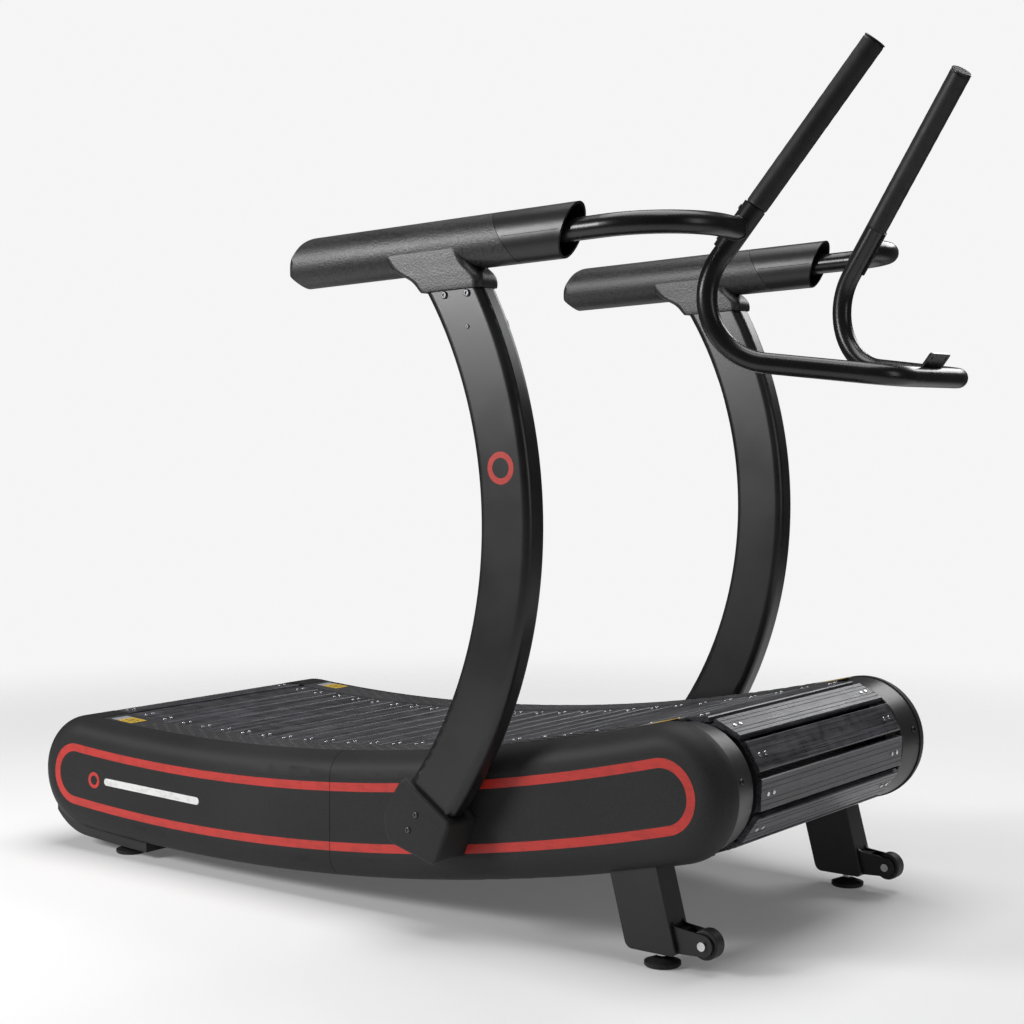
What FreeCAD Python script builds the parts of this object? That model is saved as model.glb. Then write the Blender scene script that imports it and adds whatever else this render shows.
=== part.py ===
import FreeCAD, Part
import math
import os

# Curved manual treadmill.  Millimetres, +Z up, +X the way the runner faces,
# +Y the runner's left.  The origin is on the floor under the middle of the machine.
# Every paired piece is drawn on the left (+Y) and mirrored to the right.

V = FreeCAD.Vector

# ---- driving dimensions -------------------------------------------------------------

# running surface: a large concave arc that rides up onto a drum at each end
deck_radius = 4050.0            # running surface, seen from the side
wrap_radius = 107.0             # running surface where it wraps a drum
front_drum_x = 594.0
front_drum_z = 275.0
rear_drum_x = -767.0
rear_drum_z = 151.0
belt_width = 488.0              # length of one slat, across the machine

# body
belt_edge_y = belt_width / 2.0
cover_outer_y = belt_edge_y + 116.0     # flat outer face of the side covers
cover_half_height = 110.0       # side covers, measured from their middle line
cover_round = 42.0              # soft shoulder of the side covers
cover_wall = 3.0
cover_seam_x = -92.0            # joint between the rear and the front cover
cover_gap = 1.0                 # visible gap along that joint
footboard_outer_y = belt_edge_y + 74.0

# uprights and rails
rail_y = cover_outer_y + 37.0    # middle plane of each upright and handrest
post_arc_x = -395.0             # centre of the arc the uprights are bent to
post_arc_z = 675.5
post_inner_radius = 680.0       # rear face of the upright
post_depth = 100.0
post_width = 48.0
post_wall = 3.0
rest_height = 85.0              # handrest section
rest_width = 59.0
side_tube_radius = 18.0
bar_radius = 16.5
grip_radius = 18.0
bar_top = V(835.5, 157.7, 1419.1)
bar_knee = V(501.1, 250.8, 954.3)
bar_corner = V(862.0, 135.6, 916.1)

# feet and wheels
foot_front_x = front_drum_x - 29.0
foot_rear_x = rear_drum_x + 94.0
foot_front_y = belt_edge_y + 66.0
foot_rear_y = belt_edge_y + 57.0
wheel_x = front_drum_x + 54.0
wheel_z = 47.4
wheel_radius = 23.5

# clearances
running_clearance = 0.06        # radial, shafts in bores
roller_clearance = 0.5          # deck rollers under the belts
side_clearance = 8.0            # slat end to side frame
trim_gap = 0.4                  # plastic trim round the part that passes through it

# ---- path of the belt ---------------------------------------------------------------

slat_thickness = 9.0
belt_thickness = 8.0
pitch_depth = 13.0              # belt's pitch line below the running surface
target_pitch = 54.6
slat_gap = 3.0                  # between slats on the flat
belt_seat_gap = 0.15            # flat slats on a curved belt

centreline_radius = deck_radius + wrap_radius
drum_gap_x = front_drum_x - rear_drum_x
drum_gap_z = front_drum_z - rear_drum_z
drum_gap = math.hypot(drum_gap_x, drum_gap_z)
arc_rise = math.sqrt(centreline_radius ** 2 - (drum_gap / 2.0) ** 2)
deck_x = (front_drum_x + rear_drum_x) / 2.0 - arc_rise * drum_gap_z / drum_gap
deck_z = (front_drum_z + rear_drum_z) / 2.0 + arc_rise * drum_gap_x / drum_gap
front_angle = math.atan2(front_drum_z - deck_z, front_drum_x - deck_x)
rear_angle = math.atan2(rear_drum_z - deck_z, rear_drum_x - deck_x)
slope = math.atan2(drum_gap_z, drum_gap_x)

pitch_radius = wrap_radius - pitch_depth
upper_radius = deck_radius + pitch_depth
upper_length = upper_radius * (front_angle - rear_angle)
front_wrap = (front_angle + math.pi) - (slope - math.pi / 2.0)
rear_wrap = 2.0 * math.pi + (slope - math.pi / 2.0) - (rear_angle + math.pi)
loop_length = upper_length + drum_gap + pitch_radius * (front_wrap + rear_wrap)
slat_count = int(round(loop_length / target_pitch))
pitch = loop_length / slat_count
slat_width = pitch - slat_gap

drum_radius = wrap_radius - slat_thickness - belt_thickness - belt_seat_gap
frame_inner_y = belt_edge_y + side_clearance
frame_plate = 6.0
frame_outer_y = frame_inner_y + frame_plate
belt_outer_y = belt_edge_y - 4.0
belt_inner_y = belt_outer_y - 34.0

print("belt loop %.1f mm, %d slats, pitch %.3f mm" % (loop_length, slat_count, pitch))
print("deck arc centre x %.3f z %.3f" % (deck_x, deck_z))
print("arc angles %.4f to %.4f, lower run slope %.5f" % (rear_angle, front_angle, slope))


# ---- helpers ------------------------------------------------------------------------

def mirrored(shape):
    """The same piece on the other side of the machine."""
    return shape.mirror(V(0, 0, 0), V(0, 1, 0))


def both_sides(shape):
    return Part.makeCompound([shape, mirrored(shape)])


def at(cx, cz, radius, angle, y=0.0):
    """Point at a radius and angle about a centre in the side view."""
    return V(cx + radius * math.cos(angle), y, cz + radius * math.sin(angle))


def prism(face, y0, y1):
    """Side-view face at y = 0 turned into a solid from y0 to y1."""
    solid = face.extrude(V(0, y1 - y0, 0))
    solid.translate(V(0, y0, 0))
    return solid


def arc(a, b, c):
    return Part.Arc(a, b, c).toShape()


def sector_face(cx, cz, r0, r1, a0, a1):
    """Side-view ring sector between two radii and two angles."""
    am = (a0 + a1) / 2.0
    edges = [
        arc(at(cx, cz, r0, a0), at(cx, cz, r0, am), at(cx, cz, r0, a1)),
        Part.makeLine(at(cx, cz, r0, a1), at(cx, cz, r1, a1)),
        arc(at(cx, cz, r1, a1), at(cx, cz, r1, am), at(cx, cz, r1, a0)),
        Part.makeLine(at(cx, cz, r1, a0), at(cx, cz, r0, a0)),
    ]
    return Part.Face(Part.Wire(edges))


def banana_face(half):
    """Curved slot round both drum centres, half its height on each side of the middle line."""
    rc = centreline_radius
    am = (front_angle + rear_angle) / 2.0
    top_r = at(deck_x, deck_z, rc - half, rear_angle)
    top_m = at(deck_x, deck_z, rc - half, am)
    top_f = at(deck_x, deck_z, rc - half, front_angle)
    low_r = at(deck_x, deck_z, rc + half, rear_angle)
    low_m = at(deck_x, deck_z, rc + half, am)
    low_f = at(deck_x, deck_z, rc + half, front_angle)
    nose = at(front_drum_x, front_drum_z, half, front_angle + math.pi / 2.0)
    tail = at(rear_drum_x, rear_drum_z, half, rear_angle - math.pi / 2.0)
    edges = [arc(top_r, top_m, top_f), arc(top_f, nose, low_f), arc(low_f, low_m, low_r), arc(low_r, tail, top_r)]
    return Part.Face(Part.Wire(edges))


def polygon_face(points):
    """Side-view polygon from (x, z) pairs."""
    corners = [V(x, 0, z) for x, z in points]
    return Part.Face(Part.makePolygon(corners + corners[:1]))


def rounded_polygon_face(points, radii):
    """Side-view polygon whose corners are rounded by the radii given."""
    corners = [V(x, 0, z) for x, z in points]
    count = len(corners)
    starts = []
    ends = []
    middles = []
    for i in range(count):
        p = corners[i]
        u = (corners[i - 1] - p).normalize()
        w = (corners[(i + 1) % count] - p).normalize()
        half = math.acos(max(-1.0, min(1.0, u.dot(w)))) / 2.0
        reach = radii[i] / math.tan(half)
        centre = p + (u + w).normalize() * (radii[i] / math.sin(half))
        starts.append(p + u * reach)
        ends.append(p + w * reach)
        middles.append(centre + (p - centre).normalize() * radii[i])
    edges = []
    for i in range(count):
        edges.append(arc(starts[i], middles[i], ends[i]))
        edges.append(Part.makeLine(ends[i], starts[(i + 1) % count]))
    return Part.Face(Part.Wire(edges))


def cylinder_y(cx, cz, radius, y0, y1):
    return Part.makeCylinder(radius, y1 - y0, V(cx, y0, cz), V(0, 1, 0))


def tube_y(cx, cz, outer, inner, y0, y1):
    return cylinder_y(cx, cz, outer, y0, y1).cut(cylinder_y(cx, cz, inner, y0 - 1, y1 + 1))


def box(x0, x1, y0, y1, z0, z1):
    return Part.makeBox(x1 - x0, y1 - y0, z1 - z0, V(x0, y0, z0))


def edges_where(solid, test):
    """Edges whose ends and middle all pass a test."""
    found = []
    for edge in solid.Edges:
        middle = edge.valueAt((edge.FirstParameter + edge.LastParameter) / 2.0)
        if test(middle) and all(test(v.Point) for v in edge.Vertexes):
            found.append(edge)
    return found


def rounded_path(points, radii):
    """Wire through points in space with each inner corner bent to its radius."""
    edges = []
    last = points[0]
    for i in range(1, len(points) - 1):
        p = points[i]
        u = (points[i - 1] - p).normalize()
        w = (points[i + 1] - p).normalize()
        half = math.acos(u.dot(w)) / 2.0
        reach = radii[i - 1] / math.tan(half)
        bisector = (u + w).normalize()
        centre = p + bisector * (radii[i - 1] / math.sin(half))
        start = p + u * reach
        end = p + w * reach
        edges.append(Part.makeLine(last, start))
        edges.append(arc(start, centre - bisector * radii[i - 1], end))
        last = end
    edges.append(Part.makeLine(last, points[-1]))
    return Part.Wire(edges)


def rod_along(path, radius):
    """Round bar swept along a wire."""
    first = path.Edges[0]
    start = first.valueAt(first.FirstParameter)
    direction = first.tangentAt(first.FirstParameter)
    ring = Part.Wire(Part.makeCircle(radius, start, direction))
    return path.makePipeShell([ring], True, False)


def export(name, shape):
    shape.exportStep("parts/%s.step" % name)
    print("%-24s solids %3d  volume %9.0f" % (name, len(shape.Solids), shape.Volume))


os.makedirs("parts", exist_ok=True)


# ---- slats, belts and their screws --------------------------------------------------

slat_grooves = (8.0, 16.5)      # shallow lines along each slat, either side of its middle
groove_half = 0.7
groove_depth = 0.7
slat_chamfer = 1.6
rib_half = 2.5                  # stiffening rib under each slat
rib_depth = 18.0
rib_end_y = belt_inner_y - 10.0
screw_ys = (belt_inner_y, belt_inner_y + 18.0)  # two screws side by side near each slat end
screw_head_radius = 3.6
screw_head_height = 1.8
screw_shank_radius = 2.0
screw_shank_length = 8.0


def slat_profile():
    """Slat section: local x along the travel, z outward, running surface at z = 0."""
    half = slat_width / 2.0
    right = [(half, -slat_thickness), (half, -slat_chamfer), (half - slat_chamfer, 0.0)]
    for g in reversed(slat_grooves):
        right.append((g + groove_half, 0.0))
        right.append((g + groove_half * 0.6, -groove_depth))
        right.append((g - groove_half * 0.6, -groove_depth))
        right.append((g - groove_half, 0.0))
    left = [(-x, z) for x, z in reversed(right)]
    return polygon_face(right + left)


def make_slat():
    slat = prism(slat_profile(), -belt_edge_y, belt_edge_y)
    rib = box(-rib_half, rib_half, -rib_end_y, rib_end_y, -slat_thickness - rib_depth, -slat_thickness + 1.0)
    slat = slat.fuse(rib).removeSplitter()
    for y in screw_ys:
        for side in (-1, 1):
            hole = Part.makeCylinder(screw_shank_radius, screw_shank_length, V(0, side * y, -screw_shank_length))
            slat = slat.cut(hole)
    return slat


def make_slat_screws():
    screws = []
    for y in screw_ys:
        for side in (-1, 1):
            head = Part.makeCylinder(screw_head_radius, screw_head_height, V(0, side * y, 0))
            rim = [e for e in head.Edges if abs(e.BoundBox.ZMin - screw_head_height) < 1e-6 and len(e.Vertexes) == 1]
            head = head.makeFillet(0.9, rim)
            shank = Part.makeCylinder(screw_shank_radius, screw_shank_length, V(0, side * y, -screw_shank_length))
            screws.append(head.fuse(shank))
    return Part.makeCompound(screws)


def path_frame(s):
    """Point on the running surface and angle of the outward normal, s along the pitch line.

    s starts at the rear end of the upper run and follows it to the front, round the front
    drum, back along the lower run and round the rear drum."""
    if s < upper_length:
        a = rear_angle + s / upper_radius
        return "upper", at(deck_x, deck_z, deck_radius, a), a + math.pi
    s -= upper_length
    if s < pitch_radius * front_wrap:
        a = front_angle + math.pi - s / pitch_radius
        return "front", at(front_drum_x, front_drum_z, wrap_radius, a), a
    s -= pitch_radius * front_wrap
    if s < drum_gap:
        a = slope - math.pi / 2.0
        low = at(front_drum_x, front_drum_z, wrap_radius, a)
        back = V(-math.cos(slope), 0, -math.sin(slope))
        return "lower", low + back * s, a
    s -= drum_gap
    a = slope - math.pi / 2.0 - s / pitch_radius
    return "rear", at(rear_drum_x, rear_drum_z, wrap_radius, a), a


def placed(shape, point, normal_angle):
    """Copy of a piece drawn at the origin, its z turned to the outward normal."""
    copy = shape.copy()
    turn = FreeCAD.Rotation(V(0, 1, 0), 90.0 - math.degrees(normal_angle))
    copy.Placement = FreeCAD.Placement(point, turn)
    return copy


def nearest_phase():
    """Shift of the slats that keeps the joints between slats closest to the tangent points."""
    stations = (0.0, upper_length, upper_length + pitch_radius * front_wrap,
                upper_length + pitch_radius * front_wrap + drum_gap)
    best = (1e9, 0.0)
    for step in range(200):
        shift = step / 200.0
        worst = 0.0
        for station in stations:
            off = (station / pitch - shift) % 1.0
            worst = max(worst, min(off, 1.0 - off))
        if worst < best[0] - 1e-9:
            best = (worst, shift)
    return best[1]


phase = nearest_phase()
slat = make_slat()
slat_screws = make_slat_screws()
segments = {"upper": [], "front": [], "lower": [], "rear": []}
for i in range(slat_count):
    s = ((i + 0.5 + phase) * pitch) % loop_length
    run, point, normal = path_frame(s)
    segments[run].append((s, point, normal))

for run, items in segments.items():
    export("slats_" + run, Part.makeCompound([placed(slat, p, a) for s, p, a in items]))
    export("slat_screws_" + run, Part.makeCompound([placed(slat_screws, p, a) for s, p, a in items]))

belt_end_gap = 0.8


def joint_positions(run):
    """First and last joint between slats of one run, as distances along the loop."""
    s = sorted(item[0] for item in segments[run])
    for i in range(1, len(s)):
        if s[i] - s[i - 1] > loop_length / 2.0:
            s = s[i:] + [value + loop_length for value in s[:i]]
            break
    return s[0] - pitch / 2.0 + belt_end_gap / 2.0, s[-1] + pitch / 2.0 - belt_end_gap / 2.0


def belt_strip(face):
    return both_sides(prism(face, belt_inner_y, belt_outer_y))


belt_top = slat_thickness + belt_seat_gap
belt_bottom = belt_top + belt_thickness
s0, s1 = joint_positions("upper")
export("belts_upper", belt_strip(sector_face(deck_x, deck_z, deck_radius + belt_top, deck_radius + belt_bottom,
                                             rear_angle + s0 / upper_radius, rear_angle + s1 / upper_radius)))
s0, s1 = joint_positions("front")
a0 = front_angle + math.pi - (s0 - upper_length) / pitch_radius
a1 = front_angle + math.pi - (s1 - upper_length) / pitch_radius
export("belts_front", belt_strip(sector_face(front_drum_x, front_drum_z, wrap_radius - belt_bottom,
                                             wrap_radius - belt_top, a0, a1)))
rear_start = upper_length + pitch_radius * front_wrap + drum_gap
s0, s1 = joint_positions("rear")
a0 = slope - math.pi / 2.0 - (s0 - rear_start) / pitch_radius
a1 = slope - math.pi / 2.0 - (s1 - rear_start) / pitch_radius
export("belts_rear", belt_strip(sector_face(rear_drum_x, rear_drum_z, wrap_radius - belt_bottom,
                                            wrap_radius - belt_top, a0, a1)))
lower_start = upper_length + pitch_radius * front_wrap
s0, s1 = joint_positions("lower")
down = V(math.sin(slope), 0, -math.cos(slope))
back = V(-math.cos(slope), 0, -math.sin(slope))
front_low = V(front_drum_x, 0, front_drum_z)
corners = []
for s, depth in ((s0, belt_top), (s1, belt_top), (s1, belt_bottom), (s0, belt_bottom)):
    corners.append(front_low + down * (wrap_radius - depth) + back * (s - lower_start))
export("belts_lower", belt_strip(polygon_face([(c.x, c.z) for c in corners])))


# ---- drums, axles and bearings ------------------------------------------------------

axle_radius = 12.5
axle_half_length = frame_outer_y + 46.0
pulley_inner_y = belt_inner_y - 2.0
pulley_outer_y = belt_outer_y + 2.0
pulley_rim = 12.0
pulley_web = 8.0
hub_radius = 30.0
spacer_radius = 22.0
bearing_outer_y = frame_outer_y + 28.0
bearing_flange = 92.0
bearing_boss_radius = 32.0


def make_pulleys(cx, cz):
    """Two toothless pulleys at the belt edges, joined by a spacer tube round the axle."""
    rim = tube_y(cx, cz, drum_radius, drum_radius - pulley_rim, pulley_inner_y, pulley_outer_y)
    middle = (pulley_inner_y + pulley_outer_y) / 2.0
    web = tube_y(cx, cz, drum_radius - pulley_rim, hub_radius, middle - pulley_web / 2.0, middle + pulley_web / 2.0)
    for k in range(6):
        hole = at(cx, cz, (drum_radius - pulley_rim + hub_radius) / 2.0, k * math.pi / 3.0)
        web = web.cut(cylinder_y(hole.x, hole.z, 9.0, middle - 10.0, middle + 10.0))
    hub = tube_y(cx, cz, hub_radius, axle_radius, pulley_inner_y, pulley_outer_y)
    pulley = rim.fuse(web).fuse(hub)
    spacer = tube_y(cx, cz, spacer_radius, axle_radius, -pulley_inner_y, pulley_inner_y)
    return pulley.fuse(spacer).fuse(mirrored(pulley)).removeSplitter()


def make_bearing(cx, cz):
    """Flange bearing bolted to the outside of a side frame."""
    reach = bearing_flange / 2.0
    flange = box(cx - reach, cx + reach, frame_outer_y, frame_outer_y + 10.0, cz - reach, cz + reach)
    corners = edges_where(flange, lambda p: abs(abs(p.x - cx) - reach) < 0.1 and abs(abs(p.z - cz) - reach) < 0.1)
    flange = flange.makeFillet(14.0, corners)
    boss = cylinder_y(cx, cz, bearing_boss_radius, frame_outer_y, bearing_outer_y)
    block = flange.fuse(boss)
    bore = axle_radius + running_clearance
    block = block.cut(cylinder_y(cx, cz, bore, frame_outer_y - 1.0, bearing_outer_y + 1.0))
    for sx in (-1, 1):
        for sz in (-1, 1):
            bolt = cylinder_y(cx + sx * 33.0, cz + sz * 33.0, 7.0, frame_outer_y + 10.0, frame_outer_y + 16.0)
            block = block.fuse(bolt)
    return block


export("front_pulleys", make_pulleys(front_drum_x, front_drum_z))
export("rear_pulleys", make_pulleys(rear_drum_x, rear_drum_z))
export("front_axle", cylinder_y(front_drum_x, front_drum_z, axle_radius, -axle_half_length, axle_half_length))
export("rear_axle", cylinder_y(rear_drum_x, rear_drum_z, axle_radius, -axle_half_length + 12.0,
                               axle_half_length - 12.0))
bearings = [make_bearing(front_drum_x, front_drum_z), make_bearing(rear_drum_x, rear_drum_z)]
export("axle_bearings", Part.makeCompound(bearings + [mirrored(b) for b in bearings]))

# belt tensioner: a lug welded behind each rear bearing and a bolt that pushes the bearing
lug_x = rear_drum_x - 74.0
lug = box(lug_x - 5.0, lug_x + 5.0, frame_outer_y, frame_outer_y + 24.0, rear_drum_z - 14.0, rear_drum_z + 14.0)
tension_bolt = Part.makeCylinder(5.0, rear_drum_x - bearing_flange / 2.0 - lug_x + 12.0,
                                 V(lug_x - 12.0, frame_outer_y + 15.0, rear_drum_z), V(1, 0, 0))
tension_bolt = tension_bolt.common(box(lug_x - 20.0, rear_drum_x - bearing_flange / 2.0, 0, 600, 0, 400))
tension_head = Part.makeCylinder(8.5, 6.0, V(lug_x - 18.0, frame_outer_y + 15.0, rear_drum_z), V(1, 0, 0))
export("belt_tensioners", both_sides(lug.fuse(tension_bolt).fuse(tension_head)))


# ---- side frames, cross members and deck rollers ------------------------------------

frame_half_height = 92.0
roller_radius = 18.0
roller_axle_radius = 5.0
roller_inner_y = belt_inner_y + 2.0
roller_outer_y = belt_outer_y
roller_count = 15
roller_margin = 92.0            # first and last roller stand back from the drums
cross_positions = (-560.0, -330.0, -100.0, 130.0, 350.0)
cross_width = 60.0
cross_height = 40.0
cross_wall = 3.0

roller_line = deck_radius + belt_bottom + roller_clearance + roller_radius
roller_angles = []
for i in range(roller_count):
    first = rear_angle + roller_margin / upper_radius
    last = front_angle - roller_margin / upper_radius
    roller_angles.append(first + (last - first) * i / (roller_count - 1))


def mid_height(x):
    """Height half way between the deck rollers and the lower run at one place along the machine."""
    top = deck_z - math.sqrt((roller_line + roller_radius) ** 2 - (x - deck_x) ** 2)
    rib_tip = wrap_radius - slat_thickness - rib_depth
    low = rear_drum_z + (x - rear_drum_x) * math.tan(slope) - rib_tip / math.cos(slope)
    return (top + low) / 2.0


def make_side_frame():
    plate = prism(banana_face(frame_half_height), frame_inner_y, frame_outer_y)
    plate = plate.cut(cylinder_y(front_drum_x, front_drum_z, axle_radius + 6.0, 0, 600))
    slot_reach = 12.0
    for dx in (-slot_reach, 0.0, slot_reach):
        plate = plate.cut(cylinder_y(rear_drum_x + dx, rear_drum_z, axle_radius + 6.0, 0, 600))
    for i in range(len(cross_positions) - 1):
        x = (cross_positions[i] + cross_positions[i + 1]) / 2.0
        plate = plate.cut(cylinder_y(x, mid_height(x), 30.0, 0, 600))
    return plate


def make_rollers():
    pieces = []
    for a in roller_angles:
        p = at(deck_x, deck_z, roller_line, a)
        pieces.append(tube_y(p.x, p.z, roller_radius, roller_axle_radius + running_clearance,
                             roller_inner_y, roller_outer_y))
    return pieces


def make_roller_axles():
    pieces = []
    for a in roller_angles:
        p = at(deck_x, deck_z, roller_line, a)
        stud = cylinder_y(p.x, p.z, roller_axle_radius, roller_inner_y - 4.0, frame_outer_y + 6.0)
        tip = cylinder_y(p.x, p.z, roller_axle_radius + 3.0, roller_inner_y - 5.0, roller_inner_y - 0.5)
        collar = cylinder_y(p.x, p.z, roller_axle_radius + 3.0, roller_outer_y + 0.5, frame_inner_y)
        nut = cylinder_y(p.x, p.z, roller_axle_radius + 3.5, frame_outer_y, frame_outer_y + 5.0)
        pieces.append(stud.fuse(tip).fuse(collar).fuse(nut))
    return pieces


rollers = make_rollers()
export("deck_rollers", Part.makeCompound(rollers + [mirrored(r) for r in rollers]))

members = []
for x in cross_positions:
    z = mid_height(x)
    outer = box(x - cross_width / 2, x + cross_width / 2, -frame_inner_y, frame_inner_y,
                z - cross_height / 2, z + cross_height / 2)
    rails = edges_where(outer, lambda p: abs(p.y) <= frame_inner_y + 1)
    rails = [e for e in rails if abs(e.BoundBox.YLength - 2 * frame_inner_y) < 0.5]
    outer = outer.makeFillet(5.0, rails)
    inner = box(x - cross_width / 2 + cross_wall, x + cross_width / 2 - cross_wall, -frame_inner_y - 1,
                frame_inner_y + 1, z - cross_height / 2 + cross_wall, z + cross_height / 2 - cross_wall)
    members.append(outer.cut(inner))
export("cross_members", Part.makeCompound(members))


# ---- side covers, front rings and footboards ----------------------------------------

cover_inner_y = belt_edge_y + 5.0
footboard_top = 109.5           # above the covers' middle line
footboard_thickness = 8.0
footboard_rear_x = rear_drum_x + 29.0
footboard_gap = 0.4
ring_inner_y = frame_outer_y + 1.0
ring_outer_y = footboard_outer_y - 4.0
ring_rim_radius = 102.0
ring_outer_radius = 108.0
ring_wall = 3.0
ring_flange_radius = 74.0
leg_width = 50.0
leg_top_z = 200.0
leg_bottom_z = 24.0
leg_bottom_rear_x = front_drum_x - 81.0
leg_depth = 93.0
leg_lean = 0.2725               # forward run for each millimetre down
leg_mid_y = foot_front_y + 1.0
rear_bracket_front_x = rear_drum_x + 165.0
rear_bracket_rear_x = rear_drum_x - 95.0
rear_bracket_drop = 18.4
web_rear_x = rear_drum_x + 52.0
web_front_x = rear_drum_x + 145.0
standoff_positions = (-640.0, -250.0, 40.0, 400.0)
standoff_radius = 8.0
post_foot_angle = math.radians(-42.0)
post_top_angle = math.radians(38.5)
bracket_angle = math.radians(-39.6)


def deck_angle(x, radius):
    """Angle about the deck arc's centre of a point at x on an arc of the given radius."""
    return -math.pi / 2.0 + math.asin((x - deck_x) / radius)


def cover_body(half, y_inner, y_outer, round_off):
    body = prism(banana_face(half), y_inner, y_outer)
    rim = edges_where(body, lambda p: abs(p.y - y_outer) < 0.01)
    return body.makeFillet(round_off, rim)


def leg_outline(grow):
    """Side view of a front leg, grown by a clearance."""
    top = leg_top_z + (20.0 if grow else 0.0)
    low = leg_bottom_z - grow
    shift_top = leg_lean * (top - leg_bottom_z)
    shift_low = leg_lean * (low - leg_bottom_z)
    rear = leg_bottom_rear_x - grow
    front = leg_bottom_rear_x + leg_depth + grow
    return [(rear - shift_top, top), (rear - shift_low, low), (front - shift_low, low), (front - shift_top, top)]


def bracket_block(grow, y0, y1):
    """Square tube that carries an upright, turned to the upright's direction."""
    p = at(post_arc_x, post_arc_z, post_inner_radius + post_depth / 2.0, bracket_angle)
    block = box(-30.0 - grow, 30.0 + grow, y0, y1, -24.0 - grow, 24.0 + grow)
    block.rotate(V(0, 0, 0), V(0, 1, 0), -math.degrees(bracket_angle))
    block.translate(V(p.x, 0, p.z))
    return block


top_radius = centreline_radius - footboard_top
low_radius = top_radius + footboard_thickness
board_start = deck_angle(footboard_rear_x, low_radius)
board_end = front_angle - 1.0 / low_radius

cover_shell = cover_body(cover_half_height, cover_inner_y, cover_outer_y, cover_round)
cover_shell = cover_shell.cut(cover_body(cover_half_height - cover_wall, cover_inner_y - 1.0,
                                         cover_outer_y - cover_wall, cover_round - cover_wall))
board_room = sector_face(deck_x, deck_z, top_radius - 20.0, low_radius + footboard_gap,
                         board_start - footboard_gap / low_radius, board_end + 5.0 / low_radius)
cover_shell = cover_shell.cut(prism(board_room, 0.0, footboard_outer_y + footboard_gap))
ring_room = sector_face(front_drum_x, front_drum_z, 1.0, cover_half_height + 20.0, front_angle, front_angle + math.pi)
cover_shell = cover_shell.cut(prism(ring_room, 0.0, ring_outer_y + 1.0))
cover_shell = cover_shell.cut(prism(polygon_face(leg_outline(1.0)), leg_mid_y - leg_width / 2.0 - 1.0,
                                    leg_mid_y + leg_width / 2.0 + 1.0))
cover_shell = cover_shell.cut(box(web_rear_x - 1.0, web_front_x + 1.0, frame_outer_y - 1.0, frame_outer_y + 11.0, 10.0,
                                  60.0))
cover_shell = cover_shell.cut(Part.makeCylinder(7.0, 80.0, V(foot_rear_x, foot_rear_y, 0)))
cover_shell = cover_shell.cut(bracket_block(1.0, frame_outer_y, rail_y))

rear_part = box(rear_drum_x - 400.0, cover_seam_x - cover_gap / 2.0, 0, 600, -100, 600)
front_part = box(cover_seam_x + cover_gap / 2.0, front_drum_x + 400.0, 0, 600, -100, 600)
rear_cover = cover_shell.common(rear_part)
front_cover = cover_shell.common(front_part)
export("rear_cover_left", rear_cover)
export("rear_cover_right", mirrored(rear_cover))
export("front_cover_left", front_cover)
export("front_cover_right", mirrored(front_cover))

# front ring: a flared half ring round the drum end, with a flange facing the belt
ring_section = Part.makePolygon([
    V(0, ring_inner_y, ring_flange_radius), V(0, ring_inner_y, ring_rim_radius - 1.5),
    V(0, ring_inner_y + 1.5, ring_rim_radius), V(0, ring_outer_y, ring_outer_radius),
    V(0, ring_outer_y, ring_outer_radius - ring_wall), V(0, ring_inner_y + ring_wall, ring_rim_radius - ring_wall),
    V(0, ring_inner_y + ring_wall, ring_flange_radius), V(0, ring_inner_y, ring_flange_radius)])
ring = Part.Face(ring_section)
ring.rotate(V(0, 0, 0), V(0, 1, 0), 90.0 - math.degrees(front_angle + math.pi))
ring = ring.revolve(V(0, 0, 0), V(0, 1, 0), 180.0)
ring.translate(V(front_drum_x, 0, front_drum_z))
export("front_rings", both_sides(ring))

footboard = prism(sector_face(deck_x, deck_z, top_radius, low_radius, board_start, board_end),
                  cover_inner_y, footboard_outer_y)
long_edges = edges_where(footboard, lambda p: abs(math.hypot(p.x - deck_x, p.z - deck_z) - top_radius) < 0.01)
footboard = footboard.makeFillet(2.0, long_edges)
export("footboard_left", footboard)
export("footboard_right", mirrored(footboard))

bracket_ribs = []
for k in (1, 4, 7, 9, 12):
    middle = (roller_angles[k] + roller_angles[k + 1]) / 2.0
    half_turn = 20.0 / low_radius
    shelf = prism(sector_face(deck_x, deck_z, low_radius, low_radius + 4.0, middle - half_turn, middle + half_turn),
                  frame_outer_y, footboard_outer_y - 6.0)
    upright = prism(sector_face(deck_x, deck_z, low_radius, low_radius + 42.0, middle - half_turn, middle + half_turn),
                    frame_outer_y, frame_outer_y + 4.0)
    bracket_ribs.append(shelf.fuse(upright))
supports = list(bracket_ribs)
for x in standoff_positions:
    p = at(deck_x, deck_z, centreline_radius, deck_angle(x, centreline_radius))
    supports.append(cylinder_y(p.x, p.z, standoff_radius, frame_outer_y, cover_outer_y - cover_wall))
export("cover_supports", Part.makeCompound(supports + [mirrored(s) for s in supports]))

side_frame = make_side_frame()
studs = make_roller_axles()
for stud in studs:
    side_frame = side_frame.cut(stud)
export("roller_studs", Part.makeCompound(studs + [mirrored(s) for s in studs]))


# ---- uprights and their boots -------------------------------------------------------

post_outer_radius = post_inner_radius + post_depth
post_round = 14.0
post_inner_y = rail_y - post_width / 2.0
post_outer_y = rail_y + post_width / 2.0
boot_outer_y = post_outer_y + 11.0
boot_inner_y = cover_outer_y + trim_gap
boot_round = 6.0
rail_rise = 0.0515              # slope of the handrests
rail_ref_x = -95.0
rail_ref_z = 1110.0
rail_direction = V(1.0, 0.0, rail_rise).normalize()
rail_normal = V(-rail_rise, 0.0, 1.0).normalize()


def rail_point(x):
    return V(x, rail_y, rail_ref_z + (x - rail_ref_x) * rail_rise)


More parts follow.
